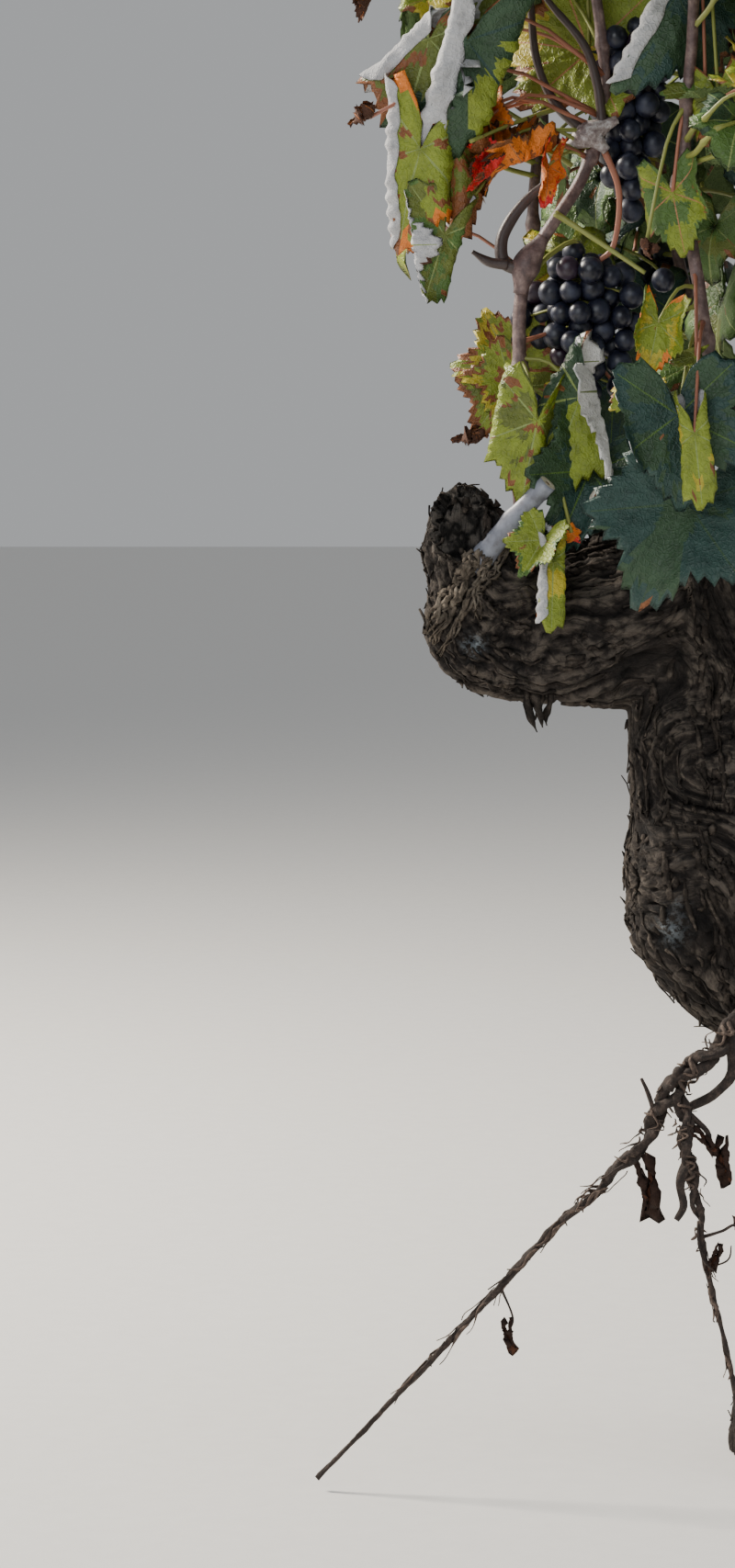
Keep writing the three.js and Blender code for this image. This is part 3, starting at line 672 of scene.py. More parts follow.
def seeded(seed):
    """The same row of random numbers for the same seed."""
    state = seed

    def draw():
        nonlocal state
        state = (state * 1664525 + 1013904223) & 0xFFFFFFFF
        return state / 4294967296
    return draw


def colored(shape, kind):
    """A shape with one finish all over."""
    points, faces = shape
    return points, faces, [np.full(len(group), kind) for group in faces]


def tree_of(mesh):
    return BVHTree.FromPolygons(of_vertices(mesh, "co").tolist(),
                                [list(face.vertices) for face in mesh.polygons])


LIMB_LINES = []
for limb in LIMBS:
    _, places, along, _, _, radii = limb_stations(limb, 60)
    LIMB_LINES.append((places, along, radii))


def grain_direction(place):
    """The way the grain runs at a place: along the nearest limb."""
    found = []
    for places, along, radii in LIMB_LINES:
        far = np.linalg.norm(places - place, axis=1) / radii
        found.append((far.min(), along[np.argmin(far)]))
    return min(found, key=lambda pair: pair[0])[1]


def ribbon(places, normals, widths, thickness):
    """A thin strip with a flat diamond section, along a line on a surface."""
    places = np.asarray(places, float)
    along = unit(np.gradient(places, axis=0))
    normals = unit(np.asarray(normals, float))
    aside = unit(np.cross(along, normals))
    width = np.asarray(widths)[:, None] / 2
    rings = np.stack([places + normals * thickness, places + aside * width,
                      places - normals * thickness * 0.6, places - aside * width], axis=1)
    return rings.reshape(-1, 3), tube_faces(len(places), 4)


def strip_along(tree, start, heading, steps, step, width, lift, held):
    """A strip that creeps over the bark, held at one share of its length, with its free ends lifting."""
    places, normals, widths = [], [], []
    place = Vector(start)
    for k in range(steps):
        found, normal, _, _ = tree.find_nearest(place)
        if found.z < LOWEST_BARK:
            break
        share = k / (steps - 1)
        raised = 0.0004 + lift * (abs(share - held) / max(held, 1 - held)) ** 3
        places.append(np.array(found + normal * raised))
        normals.append(np.array(normal))
        widths.append(width * (0.25 + 0.75 * math.sin(math.pi * (0.12 + 0.76 * share))))
        flat = Vector(grain_direction(np.array(found))) * heading
        flat = (flat - normal * flat.dot(normal)).normalized()
        place = found + flat * step
    return [ribbon(places, normals, widths, STRIP_THICKNESS)] if len(places) > 2 else []


def ridge(tree, marks, width, seed):
    """A thick string of bark that follows marks of the photograph over the wood, made of a few strands."""
    random = seeded(seed)
    shapes = []
    for _ in range(RIDGE_STRANDS):
        marked = [(column, row, 0) for column, row in marks]
        line = curve(marked, np.linspace(0.12 * random(), 1, RIDGE_STEPS))
        aside = RIDGE_SPREAD * (2 * random() - 1)
        places, normals, widths = [], [], []
        for k, (column, row, _) in enumerate(line):
            wander = aside + 1.8 * math.sin(k * 0.9 + 20 * aside)
            way = Vector(seen_at(column + wander, row + 0.5 * wander, 0)) - EYE
            found, normal, _, _ = tree.ray_cast(EYE, way.normalized())
            if found:
                places.append(np.array(found + normal * (0.0008 + 0.0012 * random())))
                normals.append(np.array(normal))
                widths.append(width * (0.35 + 0.5 * random()) * min(1, (RIDGE_STEPS - k) / 8))
        if len(places) > 2:
            shapes.append(ribbon(places, normals, widths, RIDGE_THICKNESS))
    return shapes


def loose_bark():
    """Strips and scales all over the old wood, the bits that hang from it, and the thick strings."""
    random = seeded(41)
    tree = tree_of(old_wood)
    shapes = []
    count = len(old_wood.vertices)
    for number in range(STRIPS + SCALES):
        vertex = old_wood.vertices[int(random() * count)]
        place, normal = vertex.co.copy(), vertex.normal
        heading = 1 if random() < 0.5 else -1
        if number < STRIPS:
            steps, step, width, held = 6 + int(random() * 12), STRIP_STEP, 0.0022 + 0.0040 * random(), 0.5
            lift = 0.0006 + 0.0046 * random() ** 3
        else:
            steps, step, width, held = 3 + int(random() * 3), SCALE_STEP, 0.0024 + 0.0040 * random(), 0.0
            lift = 0.0006 + 0.0034 * random() ** 2
        near_wound = (place - Vector(WOUND["centre"])).length < WOUND["radius"] * 1.1
        if place.z > 0.01 and abs(normal.z) < 0.97 and not (near_wound and number < STRIPS):
            shapes += strip_along(tree, place, heading, steps, step, width, lift, held)
    for number, (places, widths) in enumerate(HANGING_BARK):
        shares = np.linspace(0, 1, 16)
        line = curve(places, shares)
        ragged = radius_along(widths, shares) * (0.6 + 0.9 * noise(line / 0.0035, 47 + number))
        turn = 5 * shares + 1.7 * number
        facing = np.column_stack([0.8 * np.sin(turn), -np.ones(16), 0.4 * np.cos(turn)])
        shapes.append(ribbon(line, facing, ragged, 0.0009))
    strings = [shape for number, (marks, width) in enumerate(RIDGES)
               for shape in ridge(tree, marks, width, 45 + number)]
    return [colored(shape, 0) for shape in shapes] + [colored(shape, 1) for shape in strings]


def strip_finish(name, dark, middle, light):
    return mottled_finish(name, middle, 0.95, (130, 5, 0.7), [(0.3, dark), (0.52, middle), (0.72, light)],
                          (700, 4, 0.0008), 0.2)


strip_finishes = [
    strip_finish("flaking_bark", (0.009, 0.0075, 0.006), (0.030, 0.024, 0.020), (0.115, 0.094, 0.077)),
    # The thick strings are paler than the flakes: partly their own weathered grey, partly a painted
    # highlight.
    strip_finish("stringy_bark_and_highlight", (0.030, 0.024, 0.019), (0.110, 0.090, 0.070), (0.260, 0.220, 0.175)),
]
add_piece("bark_strips", loose_bark(), strip_finishes)

# The pruned spurs
# Last winter's shoots were cut back to short spurs. Each is a smooth blue-grey stub with a swollen bud, and
# its pale cut end shows the ring of wood and the brown pith.

SPUR_RADIUS = 0.0056
SPURS = {
    "left": [(-0.238, -0.040, 0.545), (-0.194, -0.060, 0.597)],
    "middle": [(-0.106, -0.024, 0.544), (-0.166, -0.058, 0.590)],
    "right": [(0.080, -0.058, 0.590), (0.121, -0.088, 0.632)],
    "back": [(-0.036, 0.166, 0.590), (-0.018, 0.208, 0.634)],
}
SPUR_STEPS = 26
SPUR_SIDES = 24
CUT_RINGS = [0.93, 0.78, 0.5, 0.3, 0.17]


def spur_shape(start, end, seed):
    random = seeded(seed)
    start, end = np.array(start), np.array(end)
    shares = np.linspace(0, 1, SPUR_STEPS)
    line = start + (end - start) * shares[:, None]
    line += np.array([0, 0, 1]) * (0.0016 * np.sin(math.pi * shares))[:, None]
    bud_at = 0.5 + 0.2 * random()
    radii = SPUR_RADIUS * (1.22 - 0.24 * shares + 0.2 * np.exp(-((shares - bud_at) / 0.07) ** 2)
                           + 0.35 * np.exp(-(shares / 0.2) ** 2))
    along, across, side = frames(line)
    angle, out = spokes(across, side, SPUR_SIDES)
    ribs = 1 + 0.035 * np.cos(5 * angle)[None] + 0.012 * np.cos(11 * angle + 1)[None]
    bud = 0.0028 * np.exp(-((shares - bud_at - 0.02) / 0.055) ** 2)[:, None] * np.exp(
        -((angle - math.pi) / 0.5) ** 2)[None]
    wall = line[:, None] + out * (radii[:, None] * ribs + bud)[..., None]
    rings = [wall.reshape(-1, 3)]
    for share in CUT_RINGS:
        sunk = -0.0010 if share < 0.2 else 0.0003 * math.cos(share * 9)
        rings.append(end + (wall[-1] - end) * share + along[-1] * sunk)
    points = np.vstack(rings)
    total = SPUR_STEPS + len(CUT_RINGS)
    walls, ends = tube_faces(total, SPUR_SIDES)
    ring = np.arange(len(walls)) // SPUR_SIDES
    kinds = np.where(ring < SPUR_STEPS - 1, 0, np.where(ring < total - 2, 1, 2))
    end_kinds = np.where(np.arange(len(ends)) < SPUR_SIDES - 2, 0, 2)
    return points, [walls, ends], [kinds, end_kinds]


spur_finishes = [
    mottled_finish("spur_bark", (0.21, 0.225, 0.27), 0.42, (110, 4, 0.6),
                   [(0.30, (0.105, 0.105, 0.125)), (0.46, (0.185, 0.195, 0.235)),
                    (0.72, (0.280, 0.300, 0.360))], (900, 3, 0.00012)),
    mottled_finish("cut_wood", (0.62, 0.57, 0.48), 0.7, (500, 4, 0.7),
                   [(0.3, (0.36, 0.30, 0.23)), (0.6, (0.66, 0.61, 0.53)), (0.8, (0.80, 0.77, 0.70))]),
    mottled_finish("pith", (0.16, 0.09, 0.05), 0.9, (600, 3),
                   [(0.3, (0.10, 0.055, 0.03)), (0.7, (0.22, 0.13, 0.07))]),
]
for index, (name, (start, end)) in enumerate(SPURS.items()):
    add_piece(f"cut_spur_{name}", [spur_shape(start, end, 51 + index)], spur_finishes,
              [f"spur_{name}"])

# The dead shoots
# Two old shoots hang dead from the burl. They have dried to dark brown, twisted round each other like rope,
# with knots, broken side twigs and threads of bark that peel away.

# partner_ends: the share of the shoot's length where its thinner partner has broken off; twigs: pixels of the
# photograph along each from its foot, and its radius there
DEAD_SHOOTS = {
    "long": {
        "path": [(-0.048, -0.044, 0.316), (-0.082, -0.074, 0.277), (-0.118, -0.080, 0.243),
                 (-0.144, -0.076, 0.200), (-0.192, -0.072, 0.153), (-0.246, -0.072, 0.094),
                 (-0.330, -0.076, 0.006)],
        "radii": [0.0085, 0.0080, 0.0072, 0.0052, 0.0027, 0.0023, 0.0017],
        "steps": 300, "turns": 6.5, "partner_ends": 0.56, "threads": 56,
        "twigs": [
            ([(806, 1132), (798, 1166), (778, 1190), (754, 1204), (736, 1214)], 0.0040),
            ([(716, 1224), (709, 1200), (698, 1174)], 0.0019),
            ([(752, 1176), (738, 1166), (729, 1188)], 0.0034),
            ([(697, 1268), (702, 1280), (708, 1290)], 0.0007),
            ([(572, 1385), (548, 1392), (531, 1404)], 0.0007),
            ([(560, 1412), (558, 1434), (553, 1452)], 0.0008),
        ],
    },
    "hanging": {
        "path": [(-0.116, -0.082, 0.240), (-0.113, -0.090, 0.214), (-0.107, -0.088, 0.178),
                 (-0.101, -0.086, 0.140), (-0.086, -0.084, 0.078), (-0.076, -0.084, 0.022)],
        "radii": [0.0050, 0.0054, 0.0042, 0.0023, 0.0017, 0.0012],
        "steps": 180, "turns": 4.0, "partner_ends": 0.5, "threads": 40,
        "twigs": [
            ([(760, 1204), (770, 1232), (771, 1250), (786, 1260)], 0.0021),
            ([(756, 1262), (740, 1288), (744, 1314), (736, 1328)], 0.0034),
            ([(770, 1346), (786, 1340), (800, 1334), (812, 1346)], 0.0011),
            ([(768, 1328), (760, 1350), (766, 1372), (780, 1386)], 0.0009),
            ([(764, 1270), (768, 1284), (766, 1292)], 0.0006),
            ([(774, 1380), (792, 1372), (796, 1356)], 0.0007),
        ],
    },
}
PAIR_SIDES = 14
THREAD_STEPS = 240


def tube(places, radii, sides, ribs=0.0, rib_count=5, turn=0.0):
    """A round stalk along a line of places, with fine ribs where they are asked for."""
    places = np.asarray(places, float)
    _, across, side = frames(places)
    angle, out = spokes(across, side, sides)
    twist = turn * np.linspace(0, 1, len(places))[:, None]
    width = np.asarray(radii)[:, None] * (1 + ribs * np.cos(rib_count * angle[None] + twist))
    return (places[:, None] + out * width[..., None]).reshape(-1, 3), tube_faces(len(places), sides)


def wound_pair(shoot):
    """A shoot with a thinner one wound round it, both lumpy and split."""
    steps, until = shoot["steps"], shoot["partner_ends"]
    shares = np.linspace(0, 1, steps)
    line = curve(shoot["path"], shares)
    width = radius_along(shoot["radii"], shares)
    _, across, side = frames(line)
    shapes = []
    for phase, share_of_width, end in ((0.0, 0.58, 1.0), (math.pi, 0.46, until)):
        count = int(steps * end)
        part = shares[:count]
        uneven = 0.8 * np.sin(9 * part + phase)
        angle = phase + 2 * math.pi * shoot["turns"] * part + uneven
        single = smooth((part - until) / 0.08)
        out = across[:count] * np.cos(angle)[:, None] + side[:count] * np.sin(angle)[:, None]
        middle = line[:count] + out * (width[:count] * 0.54 * (1 - single))[:, None]
        taper = np.where(part > end - 0.05, (end - part) / 0.05, 1) if end < 1 else 1
        thick = width[:count] * (share_of_width + (1 - share_of_width) * single * 0.8)
        thick = thick * np.maximum(taper, 0.15)
        knots = 1 + 0.30 * np.maximum(0, np.cos(2 * math.pi * part * 9 + phase)) ** 10
        points, faces = tube(middle, thick * knots, PAIR_SIDES, 0.16, 3, 70 * end)
        middle = np.repeat(middle, PAIR_SIDES, axis=0)
        rough = 0.72 + 0.5 * strands(points / [0.0045, 0.0045, 0.011], 24) * noise(points / 0.009, 25)
        shapes.append((middle + (points - middle) * rough[:, None], faces))
    return shapes


def dead_twig(path, marks, radius):
    """A side twig that leaves its shoot where the photograph shows its foot, and passes the other marks."""
    line = curve(path, 200)
    column, row = pixels(line)
    foot = line[np.argmin(np.hypot(column - marks[0][0], row - marks[0][1]))]
    marked = [foot] + [seen_at(*mark, foot[1] - 0.004) for mark in marks[1:]]
    return tube(curve(marked, 16), radius * np.linspace(1, 0.5, 16), 7, 0.18, 3, 9)


def loose_threads(shoot, seed):
    """Threads of bark that lie along a shoot and peel away from it at one end."""
    random = seeded(seed)
    shares = np.linspace(0, 1, THREAD_STEPS)
    line = curve(shoot["path"], shares)
    width = radius_along(shoot["radii"], shares)
    _, across, side = frames(line)
    shapes = []
    for _ in range(shoot["threads"]):
        first = int(random() * (THREAD_STEPS - 30))
        place = np.arange(first, first + 5 + int(random() * 12))
        share = np.linspace(0, 1, len(place))
        angle = 2 * math.pi * random() + 3.4 * (random() - 0.5) * share + 0.5 * np.sin(7 * share)
        out = across[place] * np.cos(angle)[:, None] + side[place] * np.sin(angle)[:, None]
        lift = width[place] * 0.94 + (0.001 + 0.005 * random() ** 2) * share ** 3
        widths = (0.0012 + 0.0018 * random()) * np.sin(math.pi * (0.2 + 0.7 * share))
        shapes.append(ribbon(line[place] + out * lift[:, None], out, widths, 0.0004))
    return shapes


def dead_wood_finish(name, dark, middle, light):
    return mottled_finish(name, middle, 0.85, (210, 6, 0.75), [(0.3, dark), (0.52, middle), (0.74, light)],
                          (600, 5, 0.0012))


dead_finishes = [
    dead_wood_finish("dead_shoot_bark", (0.008, 0.005, 0.004), (0.028, 0.018, 0.014), (0.105, 0.072, 0.056)),
    dead_wood_finish("peeling_thread", (0.020, 0.013, 0.010), (0.085, 0.056, 0.042), (0.220, 0.160, 0.125)),
]
for index, (name, shoot) in enumerate(DEAD_SHOOTS.items()):
    wood = wound_pair(shoot) + [dead_twig(shoot["path"], marks, radius) for marks, radius in shoot["twigs"]]
    threads = loose_threads(shoot, 61 + index)
    shapes = [colored(shape, 0) for shape in wood] + [colored(shape, 1) for shape in threads]
    add_piece(f"dried_shoot_{name}", shapes, dead_finishes, [f"dead_shoot_{name}"])

# The canes
# This year's canes grow from the heads of the arms. They are smooth, ribbed purple-brown wood, swollen at
# each node, and each runs up to become the stem of one mass of leaves.

CROWN = {"x": -0.037, "y": 0.020, "half_width": 0.280, "half_depth": 0.300, "foot": 0.505, "top": 1.300}
OUTER_MASSES = ["left", "front_left", "front", "front_right", "right", "back_right", "back", "back_left"]
INNER_MASSES = ["middle_front", "middle_back"]
MASSES = [*OUTER_MASSES, *INNER_MASSES]
FIRST_CANE_ANGLE = 194
CANE_RING = 0.62
MASS_FOOT = 0.642
CANE_RADIUS = 0.0046
INTERNODE = 0.066
SHOWN_STEM = [(-0.210, -0.038, MASS_FOOT), (-0.207, -0.040, 0.718), (-0.172, -0.034, 0.780),
              (-0.160, -0.030, 0.836), (-0.182, -0.038, 0.980), (-0.196, -0.044, 1.140),
              (-0.190, -0.040, 1.190)]
STEM_HEIGHTS = [MASS_FOOT, 0.760, 0.900, 1.040]
STEM_SHARES = [0.9, 1, 1.06, 0.98, 0.72]


def stem_path(index):
    """The way of one stem up through its mass, as the CAD model has it."""
    if index == 0:
        return SHOWN_STEM
    random = seeded(700 + index)
    outer = index < len(OUTER_MASSES)
    angle = math.radians(FIRST_CANE_ANGLE + (360 / len(OUTER_MASSES) * index if outer else 180 * index + 62))
    ring = CANE_RING if outer else 0.2
    top = CROWN["top"] - 0.045 - 0.130 * random() - (0.060 if outer else 0)
    path = []
    for height, share in zip([*STEM_HEIGHTS, top], STEM_SHARES):
        turned = angle + (random() - 0.5) * 0.34
        reach = ring * share * (0.94 + 0.12 * random())
        path.append((CROWN["x"] + CROWN["half_width"] * reach * math.cos(turned),
                     CROWN["y"] + CROWN["half_depth"] * reach * math.sin(turned), height))
    return path


def cane_path(stem):
    """From the nearest place for a cane on the arms up to the foot of its stem."""
    top = np.array(stem[0])
    feet = [np.array(foot) for arm in ARMS.values() for foot in arm["cane_feet"]]
    foot = min(feet, key=lambda place: np.linalg.norm(place - top))
    bend = foot + (top - foot) * 0.6
    bend[2] = foot[2] + (top[2] - foot[2]) * 0.42
    return [tuple(foot), tuple(bend), tuple(top)]


STEMS = [stem_path(index) for index in range(len(MASSES))]
CANES = [cane_path(stem) for stem in STEMS]


def noded(places, radius_foot, radius_tip, internode, seed, sides=12):
    """A cane along a line of close places: tapering, ribbed, a little crooked, and swollen at its nodes."""
    random = seeded(seed)
    run = run_along(places)
    count = max(1, int(round(run[-1] / internode)))
    nodes = (np.arange(count + 1) + 0.04 * random()) * run[-1] / count
    near = np.abs(run[:, None] - nodes[None]).min(axis=1)
    radii = radius_foot + (radius_tip - radius_foot) * run / run[-1]
    radii = radii * (1 + 0.42 * np.exp(-(near / (radius_foot * 0.95)) ** 2))
    _, across, _ = frames(places)
    place = run / run[-1] * count
    crook = (np.abs(((place + 0.5) % 2) - 1) - 0.5) * radius_foot * 0.9
    return tube(places + across * crook[:, None], radii, sides, 0.045, 4, 2.0)


CANE_KIND, GREEN_KIND, RED_KIND, SHADED_STALK_KIND, HIGHLIT_KNOT_KIND = range(5)
STALK_BUMPS = (900, 3, 0.0002)
twig_finishes = [
    mottled_finish("cane_bark", (0.17, 0.10, 0.09), 0.5, (150, 5, 0.65),
                   [(0.3, (0.045, 0.027, 0.029)), (0.5, (0.120, 0.074, 0.070)),
                    (0.72, (0.270, 0.190, 0.172))], (800, 3, 0.00025)),
    mottled_finish("green_stalk", (0.24, 0.26, 0.06), 0.45, bumps=STALK_BUMPS),
    mottled_finish("reddish_stalk", (0.34, 0.13, 0.08), 0.45, bumps=STALK_BUMPS),
    # Dark brown for the shown shoots that lie in shadow: painted shade.
    mottled_finish("dark_stalk_painted_shade", (0.050, 0.033, 0.031), 0.45, bumps=STALK_BUMPS),
    # Pale grey-white for the swollen joints among the shown twigs: a painted highlight.
    mottled_finish("swollen_node_painted_highlight", (0.42, 0.38, 0.36), 0.6, (230, 4, 0.7),
                   [(0.34, (0.11, 0.07, 0.07)), (0.52, (0.30, 0.25, 0.24)), (0.7, (0.62, 0.60, 0.60))],
                   (600, 3, 0.0004)),
]

# The leaves
# Each leaf is one blade with five toothed lobes round its stalk. The upper side runs from dark blue-green to
# yellow, the underside is pale and downy, the main veins stand out, and the edges have begun to dry and turn.
# The dark and blue-green tints are partly the leaves' own and partly painted shade; the bright yellow-green
# is partly painted sunlight through the blades.

VEINS = [-128, -58, 0, 58, 128]
SINUS = 168
LOBE_ANGLES = [-168, -152, -128, -90, -58, -30, 0, 30, 58, 90, 128, 152, 168]
LOBE_REACHES = [0.15, 0.41, 0.50, 0.36, 0.54, 0.40, 0.62, 0.40, 0.54, 0.36, 0.50, 0.41, 0.15]
TOOTH = 0.05
BLADE_THICKNESS = 0.006
EDGE_STEPS = 6
EDGE_LAYERS = [4.4, 2.0]  # how far the strip on a fold stands off the blade, in half thicknesses
(SHADE_DARK, MIDDLE, SUNLIT_BRIGHT, YELLOW, RUST, RED, ORANGE, DRY, UNDER, UNDER_GREEN, VEIN, VEIN_RED, SHADE_BLUE, OLIVE,
 UNDER_HIGHLIT) = range(15)
LEAF_COLORS = {
    # The dark and blue-green tints are partly painted shade, and the bright one partly painted sunlight.
    "leaf_dark_painted_shade": (0.030, 0.066, 0.030),
    "leaf_middle": (0.070, 0.135, 0.026),
    "leaf_bright_painted_sunlight": (0.200, 0.252, 0.022),
    "leaf_yellow": (0.420, 0.350, 0.028),
    "leaf_rust": (0.200, 0.070, 0.022),
    "leaf_red": (0.640, 0.020, 0.020),
    "leaf_orange": (0.700, 0.190, 0.022),
    "leaf_dry": (0.085, 0.040, 0.026),
    "leaf_under_pale": (0.440, 0.440, 0.450),
    "leaf_under_green": (0.130, 0.190, 0.075),
    "leaf_vein": (0.230, 0.290, 0.090),
    "leaf_vein_red": (0.400, 0.180, 0.080),
    "leaf_blue_green_painted_shade": (0.020, 0.054, 0.044),
    "leaf_olive": (0.112, 0.138, 0.020),
    # The white underside is a painted highlight, where the sun catches a fold.
    "leaf_under_painted_highlight": (0.860, 0.850, 0.840),
}


def leaf_finish(name, color):
    """A blade's skin: mottled, with a net of the finest veins that stands a little proud."""
    def shade(factor, lift):
        return tuple(min(1.0, factor * part + lift) for part in color)

    downy = any(word in name for word in ("under", "dry", "withered"))
    low, high, rough, gloss = (0.74, 0.92, 0.85, 0.2) if downy else (0.34, 0.58, 0.42, 0.42)
    finish = Finish(name, color, rough, gloss)
    blotch = finish.noise(95, 6, 0.72)
    tone = finish.ramp(blotch, [(0.30, shade(0.62, 0)), (0.50, color), (0.72, shade(1.30, 0.004))])
    net = finish.cells(340.0, finish.place(), [(0.0, 1), (0.16, 0)])
    finish.give(finish.ramp(blotch, [(0.3, low), (0.7, high)]), finish.shader.inputs["Roughness"])
    bumps = finish.plus(finish.times(net, 0.5), finish.noise(420, 4, 0.7))
    return finish.done(finish.mix(finish.times(net, 0.42), tone, shade(1.22, 0.006)), bumps, 0.0005)


leaf_finishes = [leaf_finish(name, color) for name, color in LEAF_COLORS.items()]


def ways(angles):
    """Directions in a blade's own plane, from the tip's at 0 degrees."""
    turn = np.radians(angles)
    return np.stack([np.cos(turn), np.sin(turn)], axis=-1)


def puckered(flat):
    """How far a blade bulges between its veins, in widths."""
    way = ways(VEINS)
    along = flat @ way.T
    aside = np.abs(flat[:, :1] * way[:, 1] - flat[:, 1:] * way[:, 0])
    aside = np.where(along > 0, aside, 1)
    nearest = np.argmin(aside, axis=1)
    far = np.minimum(aside.min(axis=1), 0.14)
    run = along[np.arange(len(far)), nearest] - 0.9 * far
    return 0.11 * far + 0.0065 * np.cos(2 * math.pi * run / 0.105) * smooth(far / 0.05)


class BladePattern:
    """The flat grid of a blade one unit wide: rays from the stalk to the rim, cut into rings."""

    def __init__(self, between, rings):
        marks = [-SINUS, *VEINS, SINUS]
        angles, beside = [-SINUS], [0]
        for k, count in enumerate(between):
            if k:
                angles += [marks[k]] * 2
                beside += [-1, 1]
            angles += list(np.linspace(marks[k], marks[k + 1], count + 2)[1:-1])
            beside += [0] * count
        angles, beside = np.array([*angles, SINUS], float), np.array([*beside, 0], float)
        rays = len(angles)
        teeth = np.where(beside == 0, TOOTH * (-1.0) ** np.arange(rays), 0)
        teeth[[0, -1]] = 0
        reach = np.interp(angles, LOBE_ANGLES, LOBE_REACHES) * (1 + teeth)
        shares = np.arange(1, rings + 1) / rings
        way = ways(angles)
        across = np.stack([-way[:, 1], way[:, 0]], axis=1)
        half_vein = np.minimum(0.0075 * (1 - 0.65 * shares), 0.035 * shares)
        grid = (way[:, None] * (reach[:, None] * shares[None])[..., None]
                + across[:, None] * (beside[:, None] * half_vein[None])[..., None])
        inner = grid[1:-1, :-1].reshape(-1, 2)
        self.flat = np.vstack([[[0, 0]], grid.reshape(-1, 2), inner])
        self.share = np.concatenate([[0], np.tile(shares, rays), np.tile(shares[:-1], rays - 2)])
        layer = np.ones((rays, rings))
        layer[[0, -1]] = 0
        layer[:, -1] = 0
        self.layer = np.concatenate([[0], layer.ravel(), -np.ones(len(inner))])
        upper = 1 + np.arange(rays * rings).reshape(rays, rings)
        lower = upper.copy()
        lower[1:-1, :-1] = 1 + rays * rings + np.arange(len(inner)).reshape(rays - 2, rings - 1)
        vein = (beside[:-1] == -1) & (beside[1:] == 1)
        j = np.arange(rays - 1)
        zero = np.zeros(rays - 1, int)
        fans = [np.stack([zero, upper[j, 0], upper[j + 1, 0]], axis=1),
                np.stack([zero, lower[j + 1, 0], lower[j, 0]], axis=1)]
        jj, kk = [part.ravel() for part in np.meshgrid(j, np.arange(rings - 1), indexing="ij")]
        quads = [
            np.stack([upper[jj, kk], upper[jj, kk + 1], upper[jj + 1, kk + 1], upper[jj + 1, kk]], axis=1),
            np.stack([lower[jj, kk], lower[jj + 1, kk], lower[jj + 1, kk + 1], lower[jj, kk + 1]], axis=1)]
        self.faces = [np.vstack(fans), np.vstack(quads)]
        self.under = [np.repeat([False, True], len(faces[0])) for faces in (fans, quads)]
        self.on_vein = [np.tile(vein[j], 2), np.tile(vein[jj], 2)]
        self.middles = [self.flat[faces].mean(axis=1) for faces in self.faces]
        self.out = [self.share[faces].mean(axis=1) for faces in self.faces]
        self.proxy = fans[0].tolist() + quads[0].tolist()
        self.relief = puckered(self.flat)


COARSE = BladePattern((1, 3, 3, 3, 3, 1), 3)
MEDIUM = BladePattern((2, 6, 5, 5, 6, 2), 4)
FINE = BladePattern((4, 14, 12, 12, 14, 4), 12)


def bent(points, angle, offset, turn, radius, rise):
    """A flat blade bent along a crease: what lies past it turns up (rise 1) or down (rise -1)."""
    way = ways(angle)
    turn = math.radians(turn)
    past = points[:, :2] @ way - offset
    part = np.clip(past / radius, 0, turn)
    rest = np.maximum(past - radius * turn, 0)
    sine, cosine = np.sin(part), np.cos(part)
    moved = radius * sine + rest * math.cos(turn) - rise * points[:, 2] * sine
    lifted = rise * (radius * (1 - cosine) + rest * math.sin(turn)) + points[:, 2] * cosine
    flat = points[:, :2] + way * np.where(past > 0, moved - past, 0)[:, None]
    return np.column_stack([flat, np.where(past > 0, lifted, points[:, 2])])


def in_place(flat, relief, share, layer, leaf):
    """Points of a flat blade raised by its bulges and waves, bent, and set on the end of its stalk."""
    angle = np.arctan2(flat[:, 1], flat[:, 0])
    phase = leaf["phase"]
    wave = leaf["wave"] * share ** 2 * (np.sin(5 * angle + phase) + 0.6 * np.sin(11 * angle + 2.3 * phase))
    points = np.column_stack([flat, relief * leaf["pucker"] + wave + layer * BLADE_THICKNESS / 2])
    for bend in leaf["bends"]:
        points = bent(points, *bend)
    tip, face = leaf["tip"], leaf["face"]
    side = np.cross(face, tip)
    return leaf["stalk"] + leaf["width"] * (points[:, :1] * tip + points[:, 1:2] * side
                                            + points[:, 2:] * face)


def blade_points(pattern, leaf):
    return in_place(pattern.flat, pattern.relief, pattern.share, pattern.layer, leaf)


def blade_reach(flat):
    """How far the blade's rim is from the stalk in the direction of each place."""
    return np.interp(np.degrees(np.arctan2(flat[:, 1], flat[:, 0])), LOBE_ANGLES, LOBE_REACHES)


def rolled_edge(leaf, angle, low, high):
    """The narrow strip of downy skin that shows along a fold, between two distances from the stalk."""
    way = ways(angle)
    across = np.array([-way[1], way[0]])
    run = np.linspace(-0.62, 0.62, 125)
    middle = way * (low + high) / 2 + across * run[:, None]
    run = run[np.hypot(middle[:, 0], middle[:, 1]) < blade_reach(middle) * 0.98]
    taper = np.minimum(1, (run - run[0]) / 0.08) * np.minimum(1, (run[-1] - run) / 0.08)
    wander = 0.03 * (noise(np.column_stack([run * 14, 0 * run, 0 * run + leaf["phase"]]), 36) - 0.5)
    share = np.linspace(0, 1, EDGE_STEPS)
    share = np.concatenate([share, share[::-1]])
    out = low + wander[:, None] * (1 - share) + (high - low) * share
    out = high + (out - high) * (0.25 + 0.75 * taper[:, None])
    flat = (way * out[..., None] + across * run[:, None, None]).reshape(-1, 2)
    far = np.minimum(1, np.hypot(flat[:, 0], flat[:, 1]) / blade_reach(flat))
    layer = np.tile(np.repeat(EDGE_LAYERS, EDGE_STEPS), len(run))
    points = in_place(flat, puckered(flat), far, layer, leaf)
    return colored((points, tube_faces(len(run), 2 * EDGE_STEPS)), leaf["under"])


